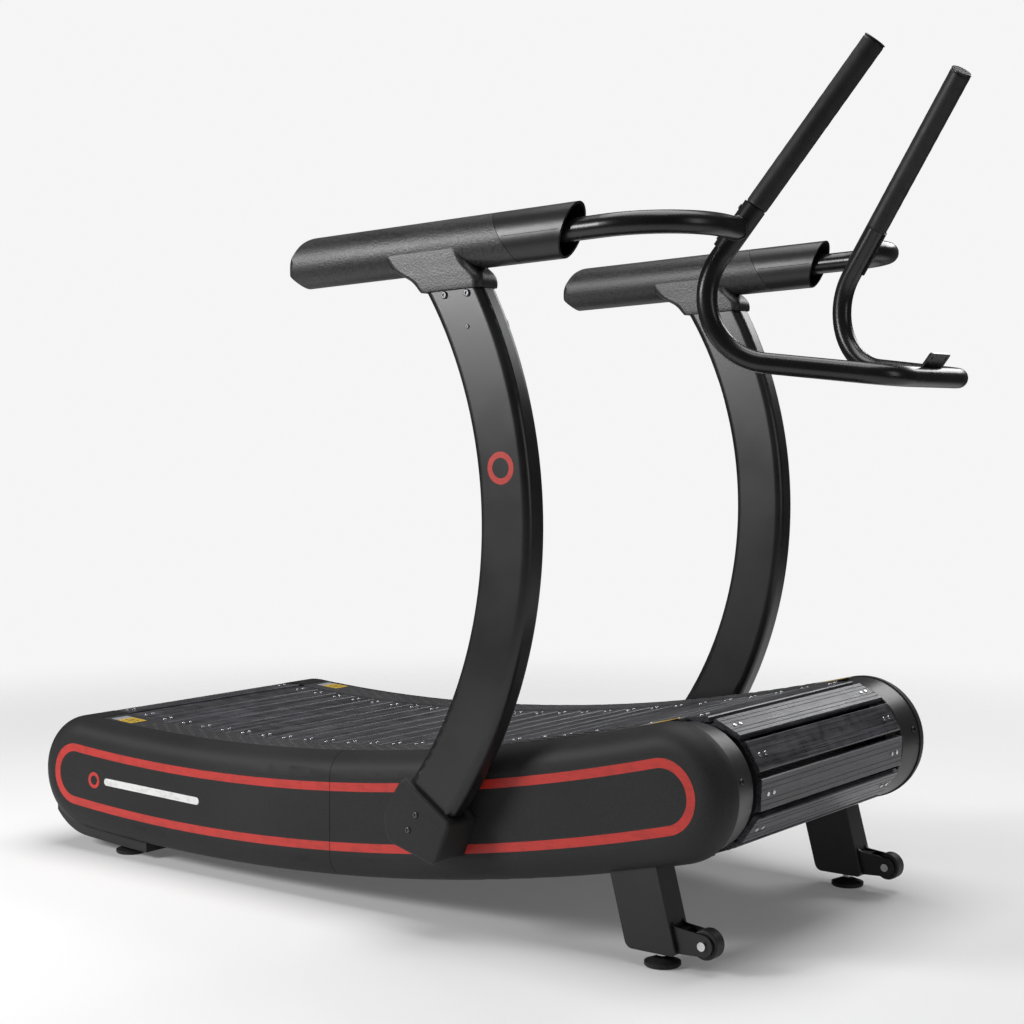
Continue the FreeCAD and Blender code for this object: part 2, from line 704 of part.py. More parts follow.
def post_point(radius, angle):
    """Side-view point about the centre that the upright is bent to."""
    p = at(post_arc_x, post_arc_z, radius, angle)
    return p.x, p.z


def below_foot(radius, degrees):
    """Point a few degrees beyond the lower end of the upright, or before it if negative."""
    return post_point(radius, post_foot_angle - math.radians(degrees))


def post_body(grow, a0, a1, round_off):
    body = prism(sector_face(post_arc_x, post_arc_z, post_inner_radius - grow, post_outer_radius + grow, a0, a1),
                 rail_y - post_width / 2.0 - grow, rail_y + post_width / 2.0 + grow)
    bent = [e for e in body.Edges if isinstance(e.Curve, Part.Circle)]
    return body.makeFillet(round_off, bent)


# side tube: straight inside the handrest, then bent inwards to the console bar
tube_wall = 2.5
tube_bend_radius = 130.0
tube_corner_x = 648.0
tube_start_x = 118.0
weld_share = 0.5935             # how far down the straight bar the side tube meets it


def side_tube_path(start_x, short_of_bar):
    corner = rail_point(tube_corner_x)
    end = bar_top + (bar_knee - bar_top) * weld_share
    end = end + (corner - end).normalize() * short_of_bar
    return rounded_path([rail_point(start_x), corner, end], [tube_bend_radius])


tube_path = side_tube_path(tube_start_x, 0.0)
tube_rod = rod_along(tube_path, side_tube_radius)

post = post_body(0.0, post_foot_angle, post_top_angle, post_round)
hollow = post_body(-post_wall, post_foot_angle - 0.01, post_top_angle + 0.02, post_round - post_wall)
post = post.cut(hollow)
above = box(-400.0, 700.0, 0.0, 600.0, 0.0, 300.0)
above.rotate(V(0, 0, 0), V(0, 1, 0), -math.degrees(math.atan(rail_rise)))
above.translate(V(rail_ref_x, 0, rail_ref_z))
post = post.cut(above).cut(tube_rod)
post = max(post.Solids, key=lambda s: s.Volume)
export("post_left", post)
export("post_right", mirrored(post))

bracket = bracket_block(0.0, frame_outer_y, post_inner_y)
bracket_hollow = bracket_block(-4.0, frame_outer_y - 1.0, rail_y)
bracket = bracket.cut(bracket_hollow)
for a in roller_angles:
    p = at(deck_x, deck_z, roller_line, a)
    nut_room = cylinder_y(p.x, p.z, roller_axle_radius + 5.5, frame_outer_y - 1.0, frame_outer_y + 8.0)
    bracket = bracket.cut(nut_room)
for support in supports:
    bracket = bracket.cut(support)
bracket = max(bracket.Solids, key=lambda s: s.Volume)
export("post_brackets", both_sides(bracket))

boot_outline = [
    below_foot(post_inner_radius - 9.0, -4.1), below_foot(post_inner_radius + 1.0, 2.5),
    below_foot(post_inner_radius + 42.0, 4.5), below_foot(post_outer_radius + 36.0, 0.6),
    below_foot(post_outer_radius + 11.0, -4.8),
]
boot = prism(rounded_polygon_face(boot_outline, [8.0, 40.0, 22.0, 16.0, 7.0]), boot_inner_y, boot_outer_y)
boot = boot.makeFillet(boot_round, edges_where(boot, lambda p: abs(p.y - boot_outer_y) < 0.01))
boot = boot.cut(post_body(trim_gap, post_foot_angle - 0.002, 0.0, post_round))
boot = boot.cut(bracket_block(trim_gap, boot_inner_y - 5.0, rail_y))
export("post_boots", both_sides(boot))


# ---- handrests and side tubes -------------------------------------------------------

rest_wall = 4.0
rest_rear_x = -150.0
rest_front_x = 500.0


def rest_rod(shrink, x0, x1):
    """Oval bar along the handrest."""
    start = rail_point(x0)
    oval = Part.Ellipse(start + rail_normal * (rest_height / 2.0 - shrink),
                        start + V(0, rest_width / 2.0 - shrink, 0), start)
    face = Part.Face(Part.Wire(oval.toShape()))
    return face.extrude(rail_direction * ((x1 - x0) / rail_direction.x))


def neck_section(drop, x0, x1, half, corner):
    """Rounded rectangle across the neck, parallel to the handrest and a drop below its middle."""
    y0 = rail_y - half
    y1 = rail_y + half
    k = corner * (1.0 - math.sqrt(0.5))
    edges = [
        Part.makeLine(V(x0 + corner, y0, 0), V(x1 - corner, y0, 0)),
        arc(V(x1 - corner, y0, 0), V(x1 - k, y0 + k, 0), V(x1, y0 + corner, 0)),
        Part.makeLine(V(x1, y0 + corner, 0), V(x1, y1 - corner, 0)),
        arc(V(x1, y1 - corner, 0), V(x1 - k, y1 - k, 0), V(x1 - corner, y1, 0)),
        Part.makeLine(V(x1 - corner, y1, 0), V(x0 + corner, y1, 0)),
        arc(V(x0 + corner, y1, 0), V(x0 + k, y1 - k, 0), V(x0, y1 - corner, 0)),
        Part.makeLine(V(x0, y1 - corner, 0), V(x0, y0 + corner, 0)),
        arc(V(x0, y0 + corner, 0), V(x0 + k, y0 + k, 0), V(x0 + corner, y0, 0)),
    ]
    wire = Part.Wire(edges)
    wire.rotate(V(0, 0, 0), V(0, 1, 0), -math.degrees(math.atan(rail_rise)))
    wire.translate(V(0, 0, rail_point(0.0).z) - rail_normal * drop)
    return wire


seam_top = V(285.5, 0, 1200.0)
seam_low = V(374.0, 0, 1058.0)
mouth_top = V(470.7, 0, 1200.0)
mouth_low = V(420.6, 0, 1058.0)
neck_x = post_arc_x + math.sqrt((post_inner_radius + post_depth / 2.0) ** 2 - (rail_ref_z - post_arc_z) ** 2)
neck_half = rest_width / 2.0
neck = Part.makeLoft([
    neck_section(73.2, neck_x - 31.0, neck_x + 92.0, neck_half - 0.5, 12.0),
    neck_section(66.0, neck_x - 38.0, neck_x + 94.0, neck_half, 14.0),
    neck_section(57.0, neck_x - 47.0, neck_x + 93.0, neck_half, 16.0),
    neck_section(48.0, neck_x - 61.0, neck_x + 87.0, neck_half, 18.0),
    neck_section(38.0, neck_x - 82.0, neck_x + 77.0, neck_half - 0.2, 20.0),
    neck_section(24.0, neck_x - 101.0, neck_x + 68.0, neck_half - 0.3, 22.0),
    neck_section(8.0, neck_x - 111.0, neck_x + 63.0, neck_half - 0.6, 22.0)], True)
rest_top = rail_ref_z + rest_height / 2.0 + 0.5
end_x = rail_ref_x - 36.0
rear_cut = rounded_polygon_face([
    (seam_top.x, seam_top.z), (60.0, 1210.0), (30.0, rest_top + (30.0 - rail_ref_x) * rail_rise),
    (end_x + 35.0, rest_top), (end_x, rail_ref_z - 15.0), (end_x + 34.0, rail_ref_z - 47.0),
    (end_x + 60.0, rail_ref_z - 65.0), (seam_low.x, rail_ref_z - 65.0), (seam_low.x, seam_low.z)],
    [0.5, 0.5, 5.0, 40.0, 22.0, 4.0, 0.5, 0.5, 0.5])
rear_moulding = rest_rod(0.0, rest_rear_x, rest_front_x).fuse(neck)
rear_moulding = rear_moulding.common(prism(rear_cut, rail_y - rest_width, rail_y + rest_width))
end_plan = box(end_x, rest_front_x, rail_y - neck_half, rail_y + neck_half, 1000.0, 1250.0)
end_plan = end_plan.makeFillet(20.0, edges_where(end_plan, lambda p: abs(p.x - end_x) < 0.01 and 1000 <= p.z <= 1250
                                                 and abs(abs(p.y - rail_y) - neck_half) < 0.01))
rear_moulding = rear_moulding.common(end_plan)
rear_moulding = rear_moulding.cut(rest_rod(rest_wall, end_x + 69.0, rest_front_x))
post_room = post_body(trim_gap, 0.0, post_top_angle, post_round).cut(above)
rear_moulding = rear_moulding.cut(post_room)
rear_moulding = rear_moulding.cut(rod_along(tube_path, side_tube_radius + trim_gap))
rear_moulding = max(rear_moulding.Solids, key=lambda s: s.Volume)
export("handrest_rear_left", rear_moulding)
export("handrest_rear_right", mirrored(rear_moulding))

front_shell = rest_rod(0.0, rest_rear_x, rest_front_x).cut(rest_rod(rest_wall, rest_rear_x, rest_front_x))
front_shell = front_shell.common(prism(polygon_face([(seam_top.x + cover_gap, 1200.0), (seam_low.x + cover_gap, 1058.0),
                                                     (mouth_low.x, 1058.0), (mouth_top.x, 1200.0)]), 0.0, 600.0))
export("handrest_front_shells", both_sides(front_shell))


# ---- console bar, grips and saddles -------------------------------------------------

bar_wall = 2.0
knee_radius = 103.0
corner_radius = 69.0
grip_share = 0.52               # how far down the straight bar a grip reaches
saddle_wall = 3.5
saddle_start = 0.522
saddle_end = 0.665


def swap_side(p):
    return V(p.x, -p.y, p.z)


bar_path = rounded_path([bar_top, bar_knee, bar_corner, swap_side(bar_corner), swap_side(bar_knee),
                         swap_side(bar_top)], [knee_radius, corner_radius, corner_radius, knee_radius])
console_bar = rod_along(bar_path, bar_radius).cut(rod_along(bar_path, bar_radius - bar_wall))
export("console_bar", console_bar)

bar_direction = (bar_knee - bar_top).normalize()
bar_length = (bar_knee - bar_top).Length


def bar_point(share):
    return bar_top + (bar_knee - bar_top) * share


def on_bar(radius, s0, s1):
    return Part.makeCylinder(radius, bar_length * (s1 - s0), bar_point(s0), bar_direction)


grip = on_bar(grip_radius, 0.0, grip_share).cut(on_bar(bar_radius, -0.01, grip_share + 0.01))
grip_rims = [e for e in grip.Edges if abs(e.Length - 2.0 * math.pi * grip_radius) < 0.5]
grip = grip.makeFillet(0.6, grip_rims)
export("grips", both_sides(grip))

cap = Part.makeCylinder(grip_radius, 3.0, bar_top, bar_direction * -1.0)
cap_rim = [e for e in cap.Edges if e.Length > 10 and (e.valueAt(0) - bar_top).dot(bar_direction) < -2.5]
cap = cap.makeFillet(1.5, [e for e in cap_rim if len(e.Vertexes) == 1])
plug = Part.makeCylinder(bar_radius - bar_wall - 0.2, 14.0, bar_top, bar_direction)
export("grip_caps", both_sides(cap.fuse(plug)))

# saddle: half shell on the outer side of the bar, where the side tube is welded on
saddle = on_bar(bar_radius + saddle_wall, saddle_start, saddle_end)
saddle = saddle.cut(on_bar(bar_radius, saddle_start - 0.01, saddle_end + 0.01))
outward = (V(0, 1, 0) - bar_direction * bar_direction.y).normalize()
inner_half = box(-60.0, 60.0, -60.0, 0.0, -200.0, 200.0)
turn = FreeCAD.Rotation(outward.cross(bar_direction), outward, bar_direction, "ZYX")
inner_half = inner_half.transformGeometry(FreeCAD.Placement(bar_point(weld_share), turn).toMatrix())
saddle = saddle.cut(inner_half)
export("bar_saddles", both_sides(saddle))

bore_path = side_tube_path(tube_start_x - 1.0, bar_radius + saddle_wall + 6.0)
side_tube = tube_rod.cut(on_bar(bar_radius + saddle_wall, 0.4, 0.8))
side_tube = max(side_tube.Solids, key=lambda s: s.Volume)
side_tube = side_tube.cut(rod_along(bore_path, side_tube_radius - tube_wall))
export("side_tubes", both_sides(side_tube))

plate_lean = 37.0
plate_height = 26.0
plate_width = 70.0
plate_thickness = 4.0
plate_hole_spacing = 50.0
plate_hole_radius = 3.2
plate_hole_height = 17.0
plate_corner_radius = 5.0
plate = box(-plate_thickness / 2.0, plate_thickness / 2.0, -plate_width / 2.0, plate_width / 2.0, -6.0, plate_height)
tips = [e for e in plate.Edges if abs(e.Length - plate_thickness) < 0.1 and e.valueAt(0).z > 0]
plate = plate.makeFillet(plate_corner_radius, tips)
for side in (-1, 1):
    plate = plate.cut(Part.makeCylinder(plate_hole_radius, 20.0, V(-10.0, side * plate_hole_spacing / 2.0,
                                                                  plate_hole_height), V(1, 0, 0)))
plate.rotate(V(0, 0, 0), V(0, 1, 0), plate_lean)
plate.translate(V(bar_corner.x, 0, bar_corner.z + bar_radius))
plate = plate.cut(cylinder_y(bar_corner.x, bar_corner.z, bar_radius, -60, 60))
plate = max(plate.Solids, key=lambda s: s.Volume)
export("console_bracket", plate)


# ---- front legs, transport wheels and feet ------------------------------------------

stem_radius = 5.0
pad_radius = 29.0
pad_edge = 7.0
fork_plate = 4.0
fork_inner = 13.0               # half the room between the fork plates
wheel_half_width = 12.0
wheel_bolt_radius = 4.0
leg_wall = 3.0
leg_floor = 16.0

leg_y0 = leg_mid_y - leg_width / 2.0
leg_y1 = leg_mid_y + leg_width / 2.0
leg_solid = prism(rounded_polygon_face(leg_outline(0.0), [2.0, 15.0, 8.0, 2.0]), leg_y0, leg_y1)
leg_rims = edges_where(leg_solid, lambda p: abs(p.y - leg_y1) < 0.01 or abs(p.y - leg_y0) < 0.01)
leg_solid = leg_solid.makeFillet(1.8, leg_rims)
room_top = leg_top_z + 5.0
room_low = leg_bottom_z + leg_floor
rear_low = leg_bottom_rear_x + leg_wall - leg_lean * leg_floor
front_low = leg_bottom_rear_x + leg_depth - leg_wall - leg_lean * leg_floor
rise = leg_lean * (room_top - room_low)
leg_room = prism(polygon_face([(rear_low - rise, room_top), (rear_low, room_low), (front_low, room_low),
                               (front_low - rise, room_top)]), leg_y0 + leg_wall, leg_y1 - leg_wall)
ear_x = leg_bottom_rear_x - leg_lean * (leg_top_z - leg_bottom_z)
ear = box(ear_x + 13.0, ear_x + leg_depth - 10.0, frame_outer_y, leg_y0 + leg_wall, leg_top_z - 28.0, leg_top_z - 4.0)
leg = leg_solid.cut(leg_room).fuse(ear)
leg = leg.cut(Part.makeCylinder(stem_radius + running_clearance, 80.0, V(foot_front_x, foot_front_y, 0)))
export("front_leg_left", leg)
export("front_leg_right", mirrored(leg))

fork_radius = 17.0
leg_front_x = leg_bottom_rear_x + leg_depth
fork_face = rounded_polygon_face([
    (leg_front_x - 26.0, wheel_z + 42.0), (leg_front_x - 26.0, 27.0), (wheel_x - 4.0, wheel_z - fork_radius),
    (wheel_x, wheel_z), (wheel_x + 3.0, wheel_z + fork_radius - 0.6), (leg_front_x - 9.0, wheel_z + fork_radius + 5.0)],
    [1.0, 1.0, 1.0, 1.0, 1.0, 14.0])
fork_parts = []
for y0 in (leg_mid_y - fork_inner - fork_plate, leg_mid_y + fork_inner):
    ear_plate = prism(fork_face, y0, y0 + fork_plate)
    ear_plate = ear_plate.fuse(cylinder_y(wheel_x, wheel_z, fork_radius, y0, y0 + fork_plate))
    fork_parts.append(ear_plate)
bridge = box(leg_front_x - 16.0, leg_front_x + 8.0, leg_mid_y - fork_inner, leg_mid_y + fork_inner, 36.0, 66.0)
fork = fork_parts[0].fuse(fork_parts[1]).fuse(bridge)
fork = fork.cut(leg_solid).cut(cylinder_y(wheel_x, wheel_z, wheel_bolt_radius, 0, 600))
fork = max(fork.Solids, key=lambda s: s.Volume)
export("wheel_forks", both_sides(fork))

bolt_y0 = leg_mid_y - fork_inner - fork_plate
bolt_y1 = leg_mid_y + fork_inner + fork_plate
wheel_bolt = cylinder_y(wheel_x, wheel_z, wheel_bolt_radius, bolt_y0 - 2.0, bolt_y1 + 2.0)
wheel_bolt = wheel_bolt.fuse(cylinder_y(wheel_x, wheel_z, 7.0, bolt_y1, bolt_y1 + 4.0))
wheel_bolt = wheel_bolt.fuse(cylinder_y(wheel_x, wheel_z, 7.0, bolt_y0 - 5.0, bolt_y0))
export("wheel_bolts", both_sides(wheel_bolt))

wheel = tube_y(wheel_x, wheel_z, wheel_radius, wheel_bolt_radius + running_clearance,
               leg_mid_y - wheel_half_width, leg_mid_y + wheel_half_width)
wheel_rims = [e for e in wheel.Edges if abs(e.Length - 2.0 * math.pi * wheel_radius) < 0.5]
wheel = wheel.makeFillet(3.0, wheel_rims)
for y in (leg_mid_y - wheel_half_width, leg_mid_y + wheel_half_width - 3.0):
    wheel = wheel.cut(tube_y(wheel_x, wheel_z, wheel_radius - 6.0, wheel_bolt_radius + 5.0, y, y + 3.0))
export("wheel_left", wheel)
export("wheel_right", mirrored(wheel))


def make_foot(x, y, pad_top, stem_top):
    """Levelling foot: rubber-edged pad with a threaded stem."""
    outline = Part.makePolygon([V(0, 0, 0), V(pad_radius - 2.0, 0, 0), V(pad_radius, 0, 2.0),
                                V(pad_radius, 0, pad_edge), V(pad_radius - 4.0, 0, pad_edge + 1.5),
                                V(14.0, 0, pad_top), V(stem_radius, 0, pad_top), V(stem_radius, 0, stem_top - 1.0),
                                V(stem_radius - 1.0, 0, stem_top), V(0, 0, stem_top), V(0, 0, 0)])
    foot = Part.Face(outline).revolve(V(0, 0, 0), V(0, 0, 1), 360.0)
    foot.translate(V(x, y, 0))
    return foot


front_foot = make_foot(foot_front_x, foot_front_y, 13.0, 66.0)
export("front_foot_left", front_foot)
export("front_foot_right", mirrored(front_foot))
rear_foot = make_foot(foot_rear_x, foot_rear_y, 12.0, 54.0)
export("rear_foot_left", rear_foot)
export("rear_foot_right", mirrored(rear_foot))

nut = Part.Face(Part.makePolygon([V(foot_front_x + 9.5 * math.cos(k * math.pi / 3.0),
                                    foot_front_y + 9.5 * math.sin(k * math.pi / 3.0), leg_bottom_z - 7.5)
                                  for k in range(7)])).extrude(V(0, 0, 7.5))
nut = nut.cut(Part.makeCylinder(stem_radius + running_clearance, 60.0, V(foot_front_x, foot_front_y, 0)))
export("foot_locknuts", both_sides(nut))

band = prism(banana_face(cover_half_height + 0.6 + rear_bracket_drop), frame_outer_y, foot_rear_y + 25.0)
band = band.cut(prism(banana_face(cover_half_height + 0.6), frame_outer_y - 1.0, foot_rear_y + 30.0))
band = band.common(box(rear_bracket_rear_x, rear_bracket_front_x, 0, 600, -50, 90))
web = box(web_rear_x, web_front_x, frame_outer_y, frame_outer_y + 10.0, 26.0, 100.0)
rear_bracket = band.fuse(web)
rear_bracket = rear_bracket.cut(Part.makeCylinder(stem_radius + running_clearance, 80.0, V(foot_rear_x, foot_rear_y, 0)))
export("rear_foot_brackets", both_sides(rear_bracket))


# ---- magnetic brake and its dial (right side) ---------------------------------------

disc_radius = 74.0
disc_y0 = frame_outer_y + 33.0
disc_y1 = disc_y0 + 4.0
magnet_gap = 1.2
arm_plate = 3.0
arm_pivot_x = front_drum_x - 74.0
arm_pivot_z = front_drum_z + 70.0
arm_pivot_radius = 6.0
magnet_thickness = 3.3

disc = tube_y(front_drum_x, front_drum_z, disc_radius, axle_radius, disc_y0, disc_y1)
for k in range(5):
    hole = at(front_drum_x, front_drum_z, 36.0, k * 2.0 * math.pi / 5.0 + 0.3)
    disc = disc.cut(cylinder_y(hole.x, hole.z, 11.0, disc_y0 - 1.0, disc_y1 + 1.0))
disc_hub = tube_y(front_drum_x, front_drum_z, 22.0, axle_radius, bearing_outer_y + 1.0, disc_y1 + 5.0)
export("brake_disc", mirrored(disc.fuse(disc_hub)))

magnet_y0 = disc_y0 - magnet_gap - magnet_thickness
magnet_y1 = disc_y1 + magnet_gap
magnet_y2 = magnet_y1 + magnet_thickness


def arm_box(x0, x1, y0, y1, z0, z1):
    """Box of the arm, its x and z measured from the pivot."""
    return box(arm_pivot_x + x0, arm_pivot_x + x1, y0, y1, arm_pivot_z + z0, arm_pivot_z + z1)


arm = arm_box(-11.0, 13.0, magnet_y0 - arm_plate, magnet_y0, -73.0, 5.0)
arm = arm.fuse(arm_box(-11.0, 13.0, magnet_y2, magnet_y2 + arm_plate, -73.0, 5.0))
arm = arm.fuse(arm_box(-9.0, 11.0, magnet_y0, magnet_y0 + magnet_thickness, -71.0, -45.0))
arm = arm.fuse(arm_box(-9.0, 11.0, magnet_y1, magnet_y2, -71.0, -45.0))
boss = cylinder_y(arm_pivot_x, arm_pivot_z, 11.0, magnet_y0 - arm_plate, magnet_y2 + arm_plate)
arm = arm.fuse(boss).cut(cylinder_y(arm_pivot_x, arm_pivot_z, arm_pivot_radius + running_clearance, 0, 600))
export("magnet_arm", mirrored(arm.removeSplitter()))

pivot_end = magnet_y2 + arm_plate + 0.5
pivot = cylinder_y(arm_pivot_x, arm_pivot_z, arm_pivot_radius, frame_outer_y - 1.0, pivot_end + 4.0)
pivot = pivot.fuse(cylinder_y(arm_pivot_x, arm_pivot_z, arm_pivot_radius + 4.0, frame_outer_y - 1.0,
                              magnet_y0 - arm_plate - 0.5))
pivot = pivot.fuse(cylinder_y(arm_pivot_x, arm_pivot_z, arm_pivot_radius + 3.0, pivot_end, pivot_end + 4.0))
export("side_frames", Part.makeCompound([side_frame, mirrored(side_frame.fuse(pivot))]))

dial_angle = math.radians(25.9)
dial_radius = 21.0
dial_depth = 17.0
housing_radius = 24.0
housing_depth = 20.0
spindle_radius = 5.0
dial_at = at(post_arc_x, post_arc_z, post_inner_radius + post_depth / 2.0, dial_angle)
housing = tube_y(dial_at.x, dial_at.z, housing_radius, spindle_radius + running_clearance,
                 post_inner_y - housing_depth, post_inner_y)
housing_rim = [e for e in housing.Edges if abs(e.Length - 2.0 * math.pi * housing_radius) < 0.5
               and e.valueAt(0).y < post_inner_y - 1.0]
housing = housing.makeFillet(3.0, housing_rim)
export("resistance_housing", mirrored(housing))
dial_y1 = post_inner_y - housing_depth - 0.6
dial = cylinder_y(dial_at.x, dial_at.z, dial_radius, dial_y1 - dial_depth, dial_y1)
dial_rim = [e for e in dial.Edges if e.valueAt(0).y < dial_y1 - 1.0 and abs(e.Length - 2.0 * math.pi * dial_radius) < 0.5]
dial = dial.makeFillet(3.0, dial_rim)
for k in range(14):
    p = at(dial_at.x, dial_at.z, dial_radius + 1.6, k * 2.0 * math.pi / 14.0)
    dial = dial.cut(cylinder_y(p.x, p.z, 3.0, dial_y1 - dial_depth - 1.0, dial_y1 - 3.0))
dial = dial.fuse(cylinder_y(dial_at.x, dial_at.z, spindle_radius, dial_y1 - 1.0, post_inner_y - 0.5))
export("resistance_dial", mirrored(dial))


# ---- visible screws -----------------------------------------------------------------

def button_screw(point, direction, radius, height):
    """Round-headed screw sitting on a surface, with a hex socket."""
    head = Part.makeCylinder(radius, height, point, direction)
    rim = [e for e in head.Edges if len(e.Vertexes) == 1 and (e.valueAt(0) - point).dot(direction) > height / 2.0]
    head = head.makeFillet(height * 0.6, rim)
    socket = Part.makeCylinder(radius * 0.45, height, point + direction * (height * 0.4), direction)
    return head.cut(socket)


screws = []
for x, z, radius in ((216.0, 1045.0, 6.0), (262.0, 1047.0, 6.0), (263.0, 994.0, 3.6)):
    screws.append(button_screw(V(x, post_outer_y, z), V(0, 1, 0), radius, radius * 0.5))
for x, z in (below_foot(post_inner_radius + 52.0, -1.9), below_foot(post_inner_radius + 57.5, 0.5)):
    screws.append(button_screw(V(x, boot_outer_y, z), V(0, 1, 0), 5.0, 2.4))
ring_tilt = math.atan((ring_outer_radius - ring_rim_radius) / (ring_outer_y - ring_inner_y - 1.5))
screw_turn = math.radians(14.0)
ring_y = ring_outer_y - 16.0
ring_r = ring_rim_radius + (ring_y - ring_inner_y - 1.5) * math.tan(ring_tilt)
radial = V(math.cos(screw_turn), 0, math.sin(screw_turn))
ring_normal = (radial * math.cos(ring_tilt) - V(0, math.sin(ring_tilt), 0)).normalize()
screws.append(button_screw(V(front_drum_x, ring_y, front_drum_z) + radial * ring_r, ring_normal, 5.0, 2.4))
rearward = outward.cross(bar_direction).normalize()
if rearward.x > 0:
    rearward = rearward * -1.0
for share in (saddle_start + 0.022, saddle_end - 0.022):
    side_dir = (outward * 0.55 + rearward * 0.83).normalize()
    screws.append(button_screw(bar_point(share) + side_dir * (bar_radius + saddle_wall), side_dir, 4.4, 1.8))
export("trim_screws", Part.makeCompound(screws + [mirrored(s) for s in screws]))
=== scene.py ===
# %% [markdown]
# # A curved manual treadmill, finished and lit
#
# The machine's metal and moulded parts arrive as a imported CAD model: sixty named pieces that
# already have the right shape, the right size and the right joints.  This lesson keeps every
# one of them where it is and adds what the CAD leaves out: finishes, the red bands, the
# anti-slip pattern, soft grips, weld beads, a floor and studio light.
#
# Blender counts in metres here, with +X the way the runner faces and +Z up.

import math

import bpy
import numpy as np
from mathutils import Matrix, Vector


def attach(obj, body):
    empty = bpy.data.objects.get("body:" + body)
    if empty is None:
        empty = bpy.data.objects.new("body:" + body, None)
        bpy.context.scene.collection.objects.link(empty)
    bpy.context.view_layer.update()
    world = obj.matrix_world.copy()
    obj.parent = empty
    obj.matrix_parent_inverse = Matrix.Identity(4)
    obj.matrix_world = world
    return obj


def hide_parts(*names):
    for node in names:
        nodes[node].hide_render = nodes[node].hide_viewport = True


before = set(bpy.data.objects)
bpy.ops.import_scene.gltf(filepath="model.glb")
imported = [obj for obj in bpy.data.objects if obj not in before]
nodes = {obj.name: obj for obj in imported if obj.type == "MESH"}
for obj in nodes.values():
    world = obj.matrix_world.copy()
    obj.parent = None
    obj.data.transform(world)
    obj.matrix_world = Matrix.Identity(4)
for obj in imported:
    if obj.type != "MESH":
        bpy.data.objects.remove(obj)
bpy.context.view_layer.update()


# %% [markdown]
# ## Sizes shared with the CAD
#
# The body of the machine is a long curved slot drawn round two drums.  Every printed band and
# every row of the anti-slip pattern follows that same curve, so its few numbers are written
# down once: the two drum centres, and the radius of the big concave arc between them.
# The arc's centre follows from them by the rule for a chord: it stands on the chord's
# perpendicular bisector, at a height that Pythagoras gives.  Thin pieces are let into the
# surface that carries them by a fifth of a millimetre, so no gap shows under their edges.

# %% The body's curve
FRONT_DRUM = np.array([0.594, 0.275])
REAR_DRUM = np.array([-0.767, 0.151])
MIDDLE_RADIUS = 4.157
COVER_FACE = 0.360
SEAM_X = -0.092
SEAM_HALF = 0.0006
SUNK = 0.0002
SIDES = ((1, "left"), (-1, "right"))

chord = FRONT_DRUM - REAR_DRUM
chord_length = float(np.hypot(*chord))
rise = math.sqrt(MIDDLE_RADIUS**2 - (chord_length / 2) ** 2)
square_to_chord = np.array([-chord[1], chord[0]]) / chord_length
ARC_CENTRE = (FRONT_DRUM + REAR_DRUM) / 2 + rise * square_to_chord
FRONT_ANGLE = math.atan2(*(FRONT_DRUM - ARC_CENTRE)[::-1])
REAR_ANGLE = math.atan2(*(REAR_DRUM - ARC_CENTRE)[::-1])
print("arc centre", ARC_CENTRE.round(4), "angles", round(REAR_ANGLE, 4), round(FRONT_ANGLE, 4))


# %% [markdown]
# ## From numbers to a mesh
#
# A surface worked out with numpy is a grid of points, rows by columns.  Two neighbouring rows
# and columns make one four-sided face, so the faces follow from the grid's shape alone.
# One helper turns any number of equal grids into one mesh, joins the rows or the columns
# round where the surface is closed, and puts a lid on the open ends of a tube.  Reading the
# columns backwards turns a surface inside out, which is what a mirror image needs.

# %% Grids into meshes
def grid_faces(rows, cols, wrap_rows=False, wrap_cols=True):
    """Quads between neighbours of a rows by cols grid, wound so that rows x cols points out."""
    r = np.arange(rows if wrap_rows else rows - 1)[:, None]
    c = np.arange(cols if wrap_cols else cols - 1)[None, :]
    r2, c2 = (r + 1) % rows, (c + 1) % cols
    quads = np.stack([r * cols + c, r * cols + c2, r2 * cols + c2, r2 * cols + c], axis=-1)
    return quads.reshape(-1, 4)


def mesh_piece(name, grids, wrap_rows=False, wrap_cols=True, lids=True, smooth=True):
    """One object from grids shaped (count, rows, cols, 3), with flat lids on tubes' ends."""
    grids = np.asarray(grids, float)
    if grids.ndim == 3:
        grids = grids[None]
    count, rows, cols, _ = grids.shape
    one = grid_faces(rows, cols, wrap_rows, wrap_cols)
    offsets = (np.arange(count) * rows * cols)[:, None, None]
    faces = (one[None] + offsets).reshape(-1, 4).tolist()
    if lids and not wrap_rows:
        first = np.arange(cols)[::-1] + offsets[:, 0]
        last = np.arange(cols) + (rows - 1) * cols + offsets[:, 0]
        faces += first.tolist() + last.tolist()
    mesh = bpy.data.meshes.new(name)
    mesh.from_pydata(grids.reshape(-1, 3).tolist(), [], faces)
    mesh.polygons.foreach_set("use_smooth", [smooth] * len(mesh.polygons))
    mesh.update()
    piece = bpy.data.objects.new(name, mesh)
    bpy.context.scene.collection.objects.link(piece)
    print(name, "faces", len(mesh.polygons))
    return piece


def wound(grid, flip):
    """The grid, or the same points with the columns read backwards."""
    return grid[..., ::-1, :] if flip else grid


def mirror_y(grid, side):
    """The grid itself, or its mirror image on the other side wound the right way round."""
    return grid if side > 0 else wound(grid * [1, -1, 1], True)


def dress(piece, body, finish):
    """A new piece gets its finish and rides on a body of the machine."""
    piece.data.materials.append(finish)
    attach(piece, body)
    return piece


# %% [markdown]
# ## Sums on sockets
#
# Procedural finishes are mostly arithmetic: a little noise times a small number, added to a
# roughness.  Written out as nodes, each plus and times is a block of code.  A small class that
# wraps a node's output and answers to Python's own + - * turns it back into a sum.  A second
# class holds a node tree and has the one method that every node comes from.

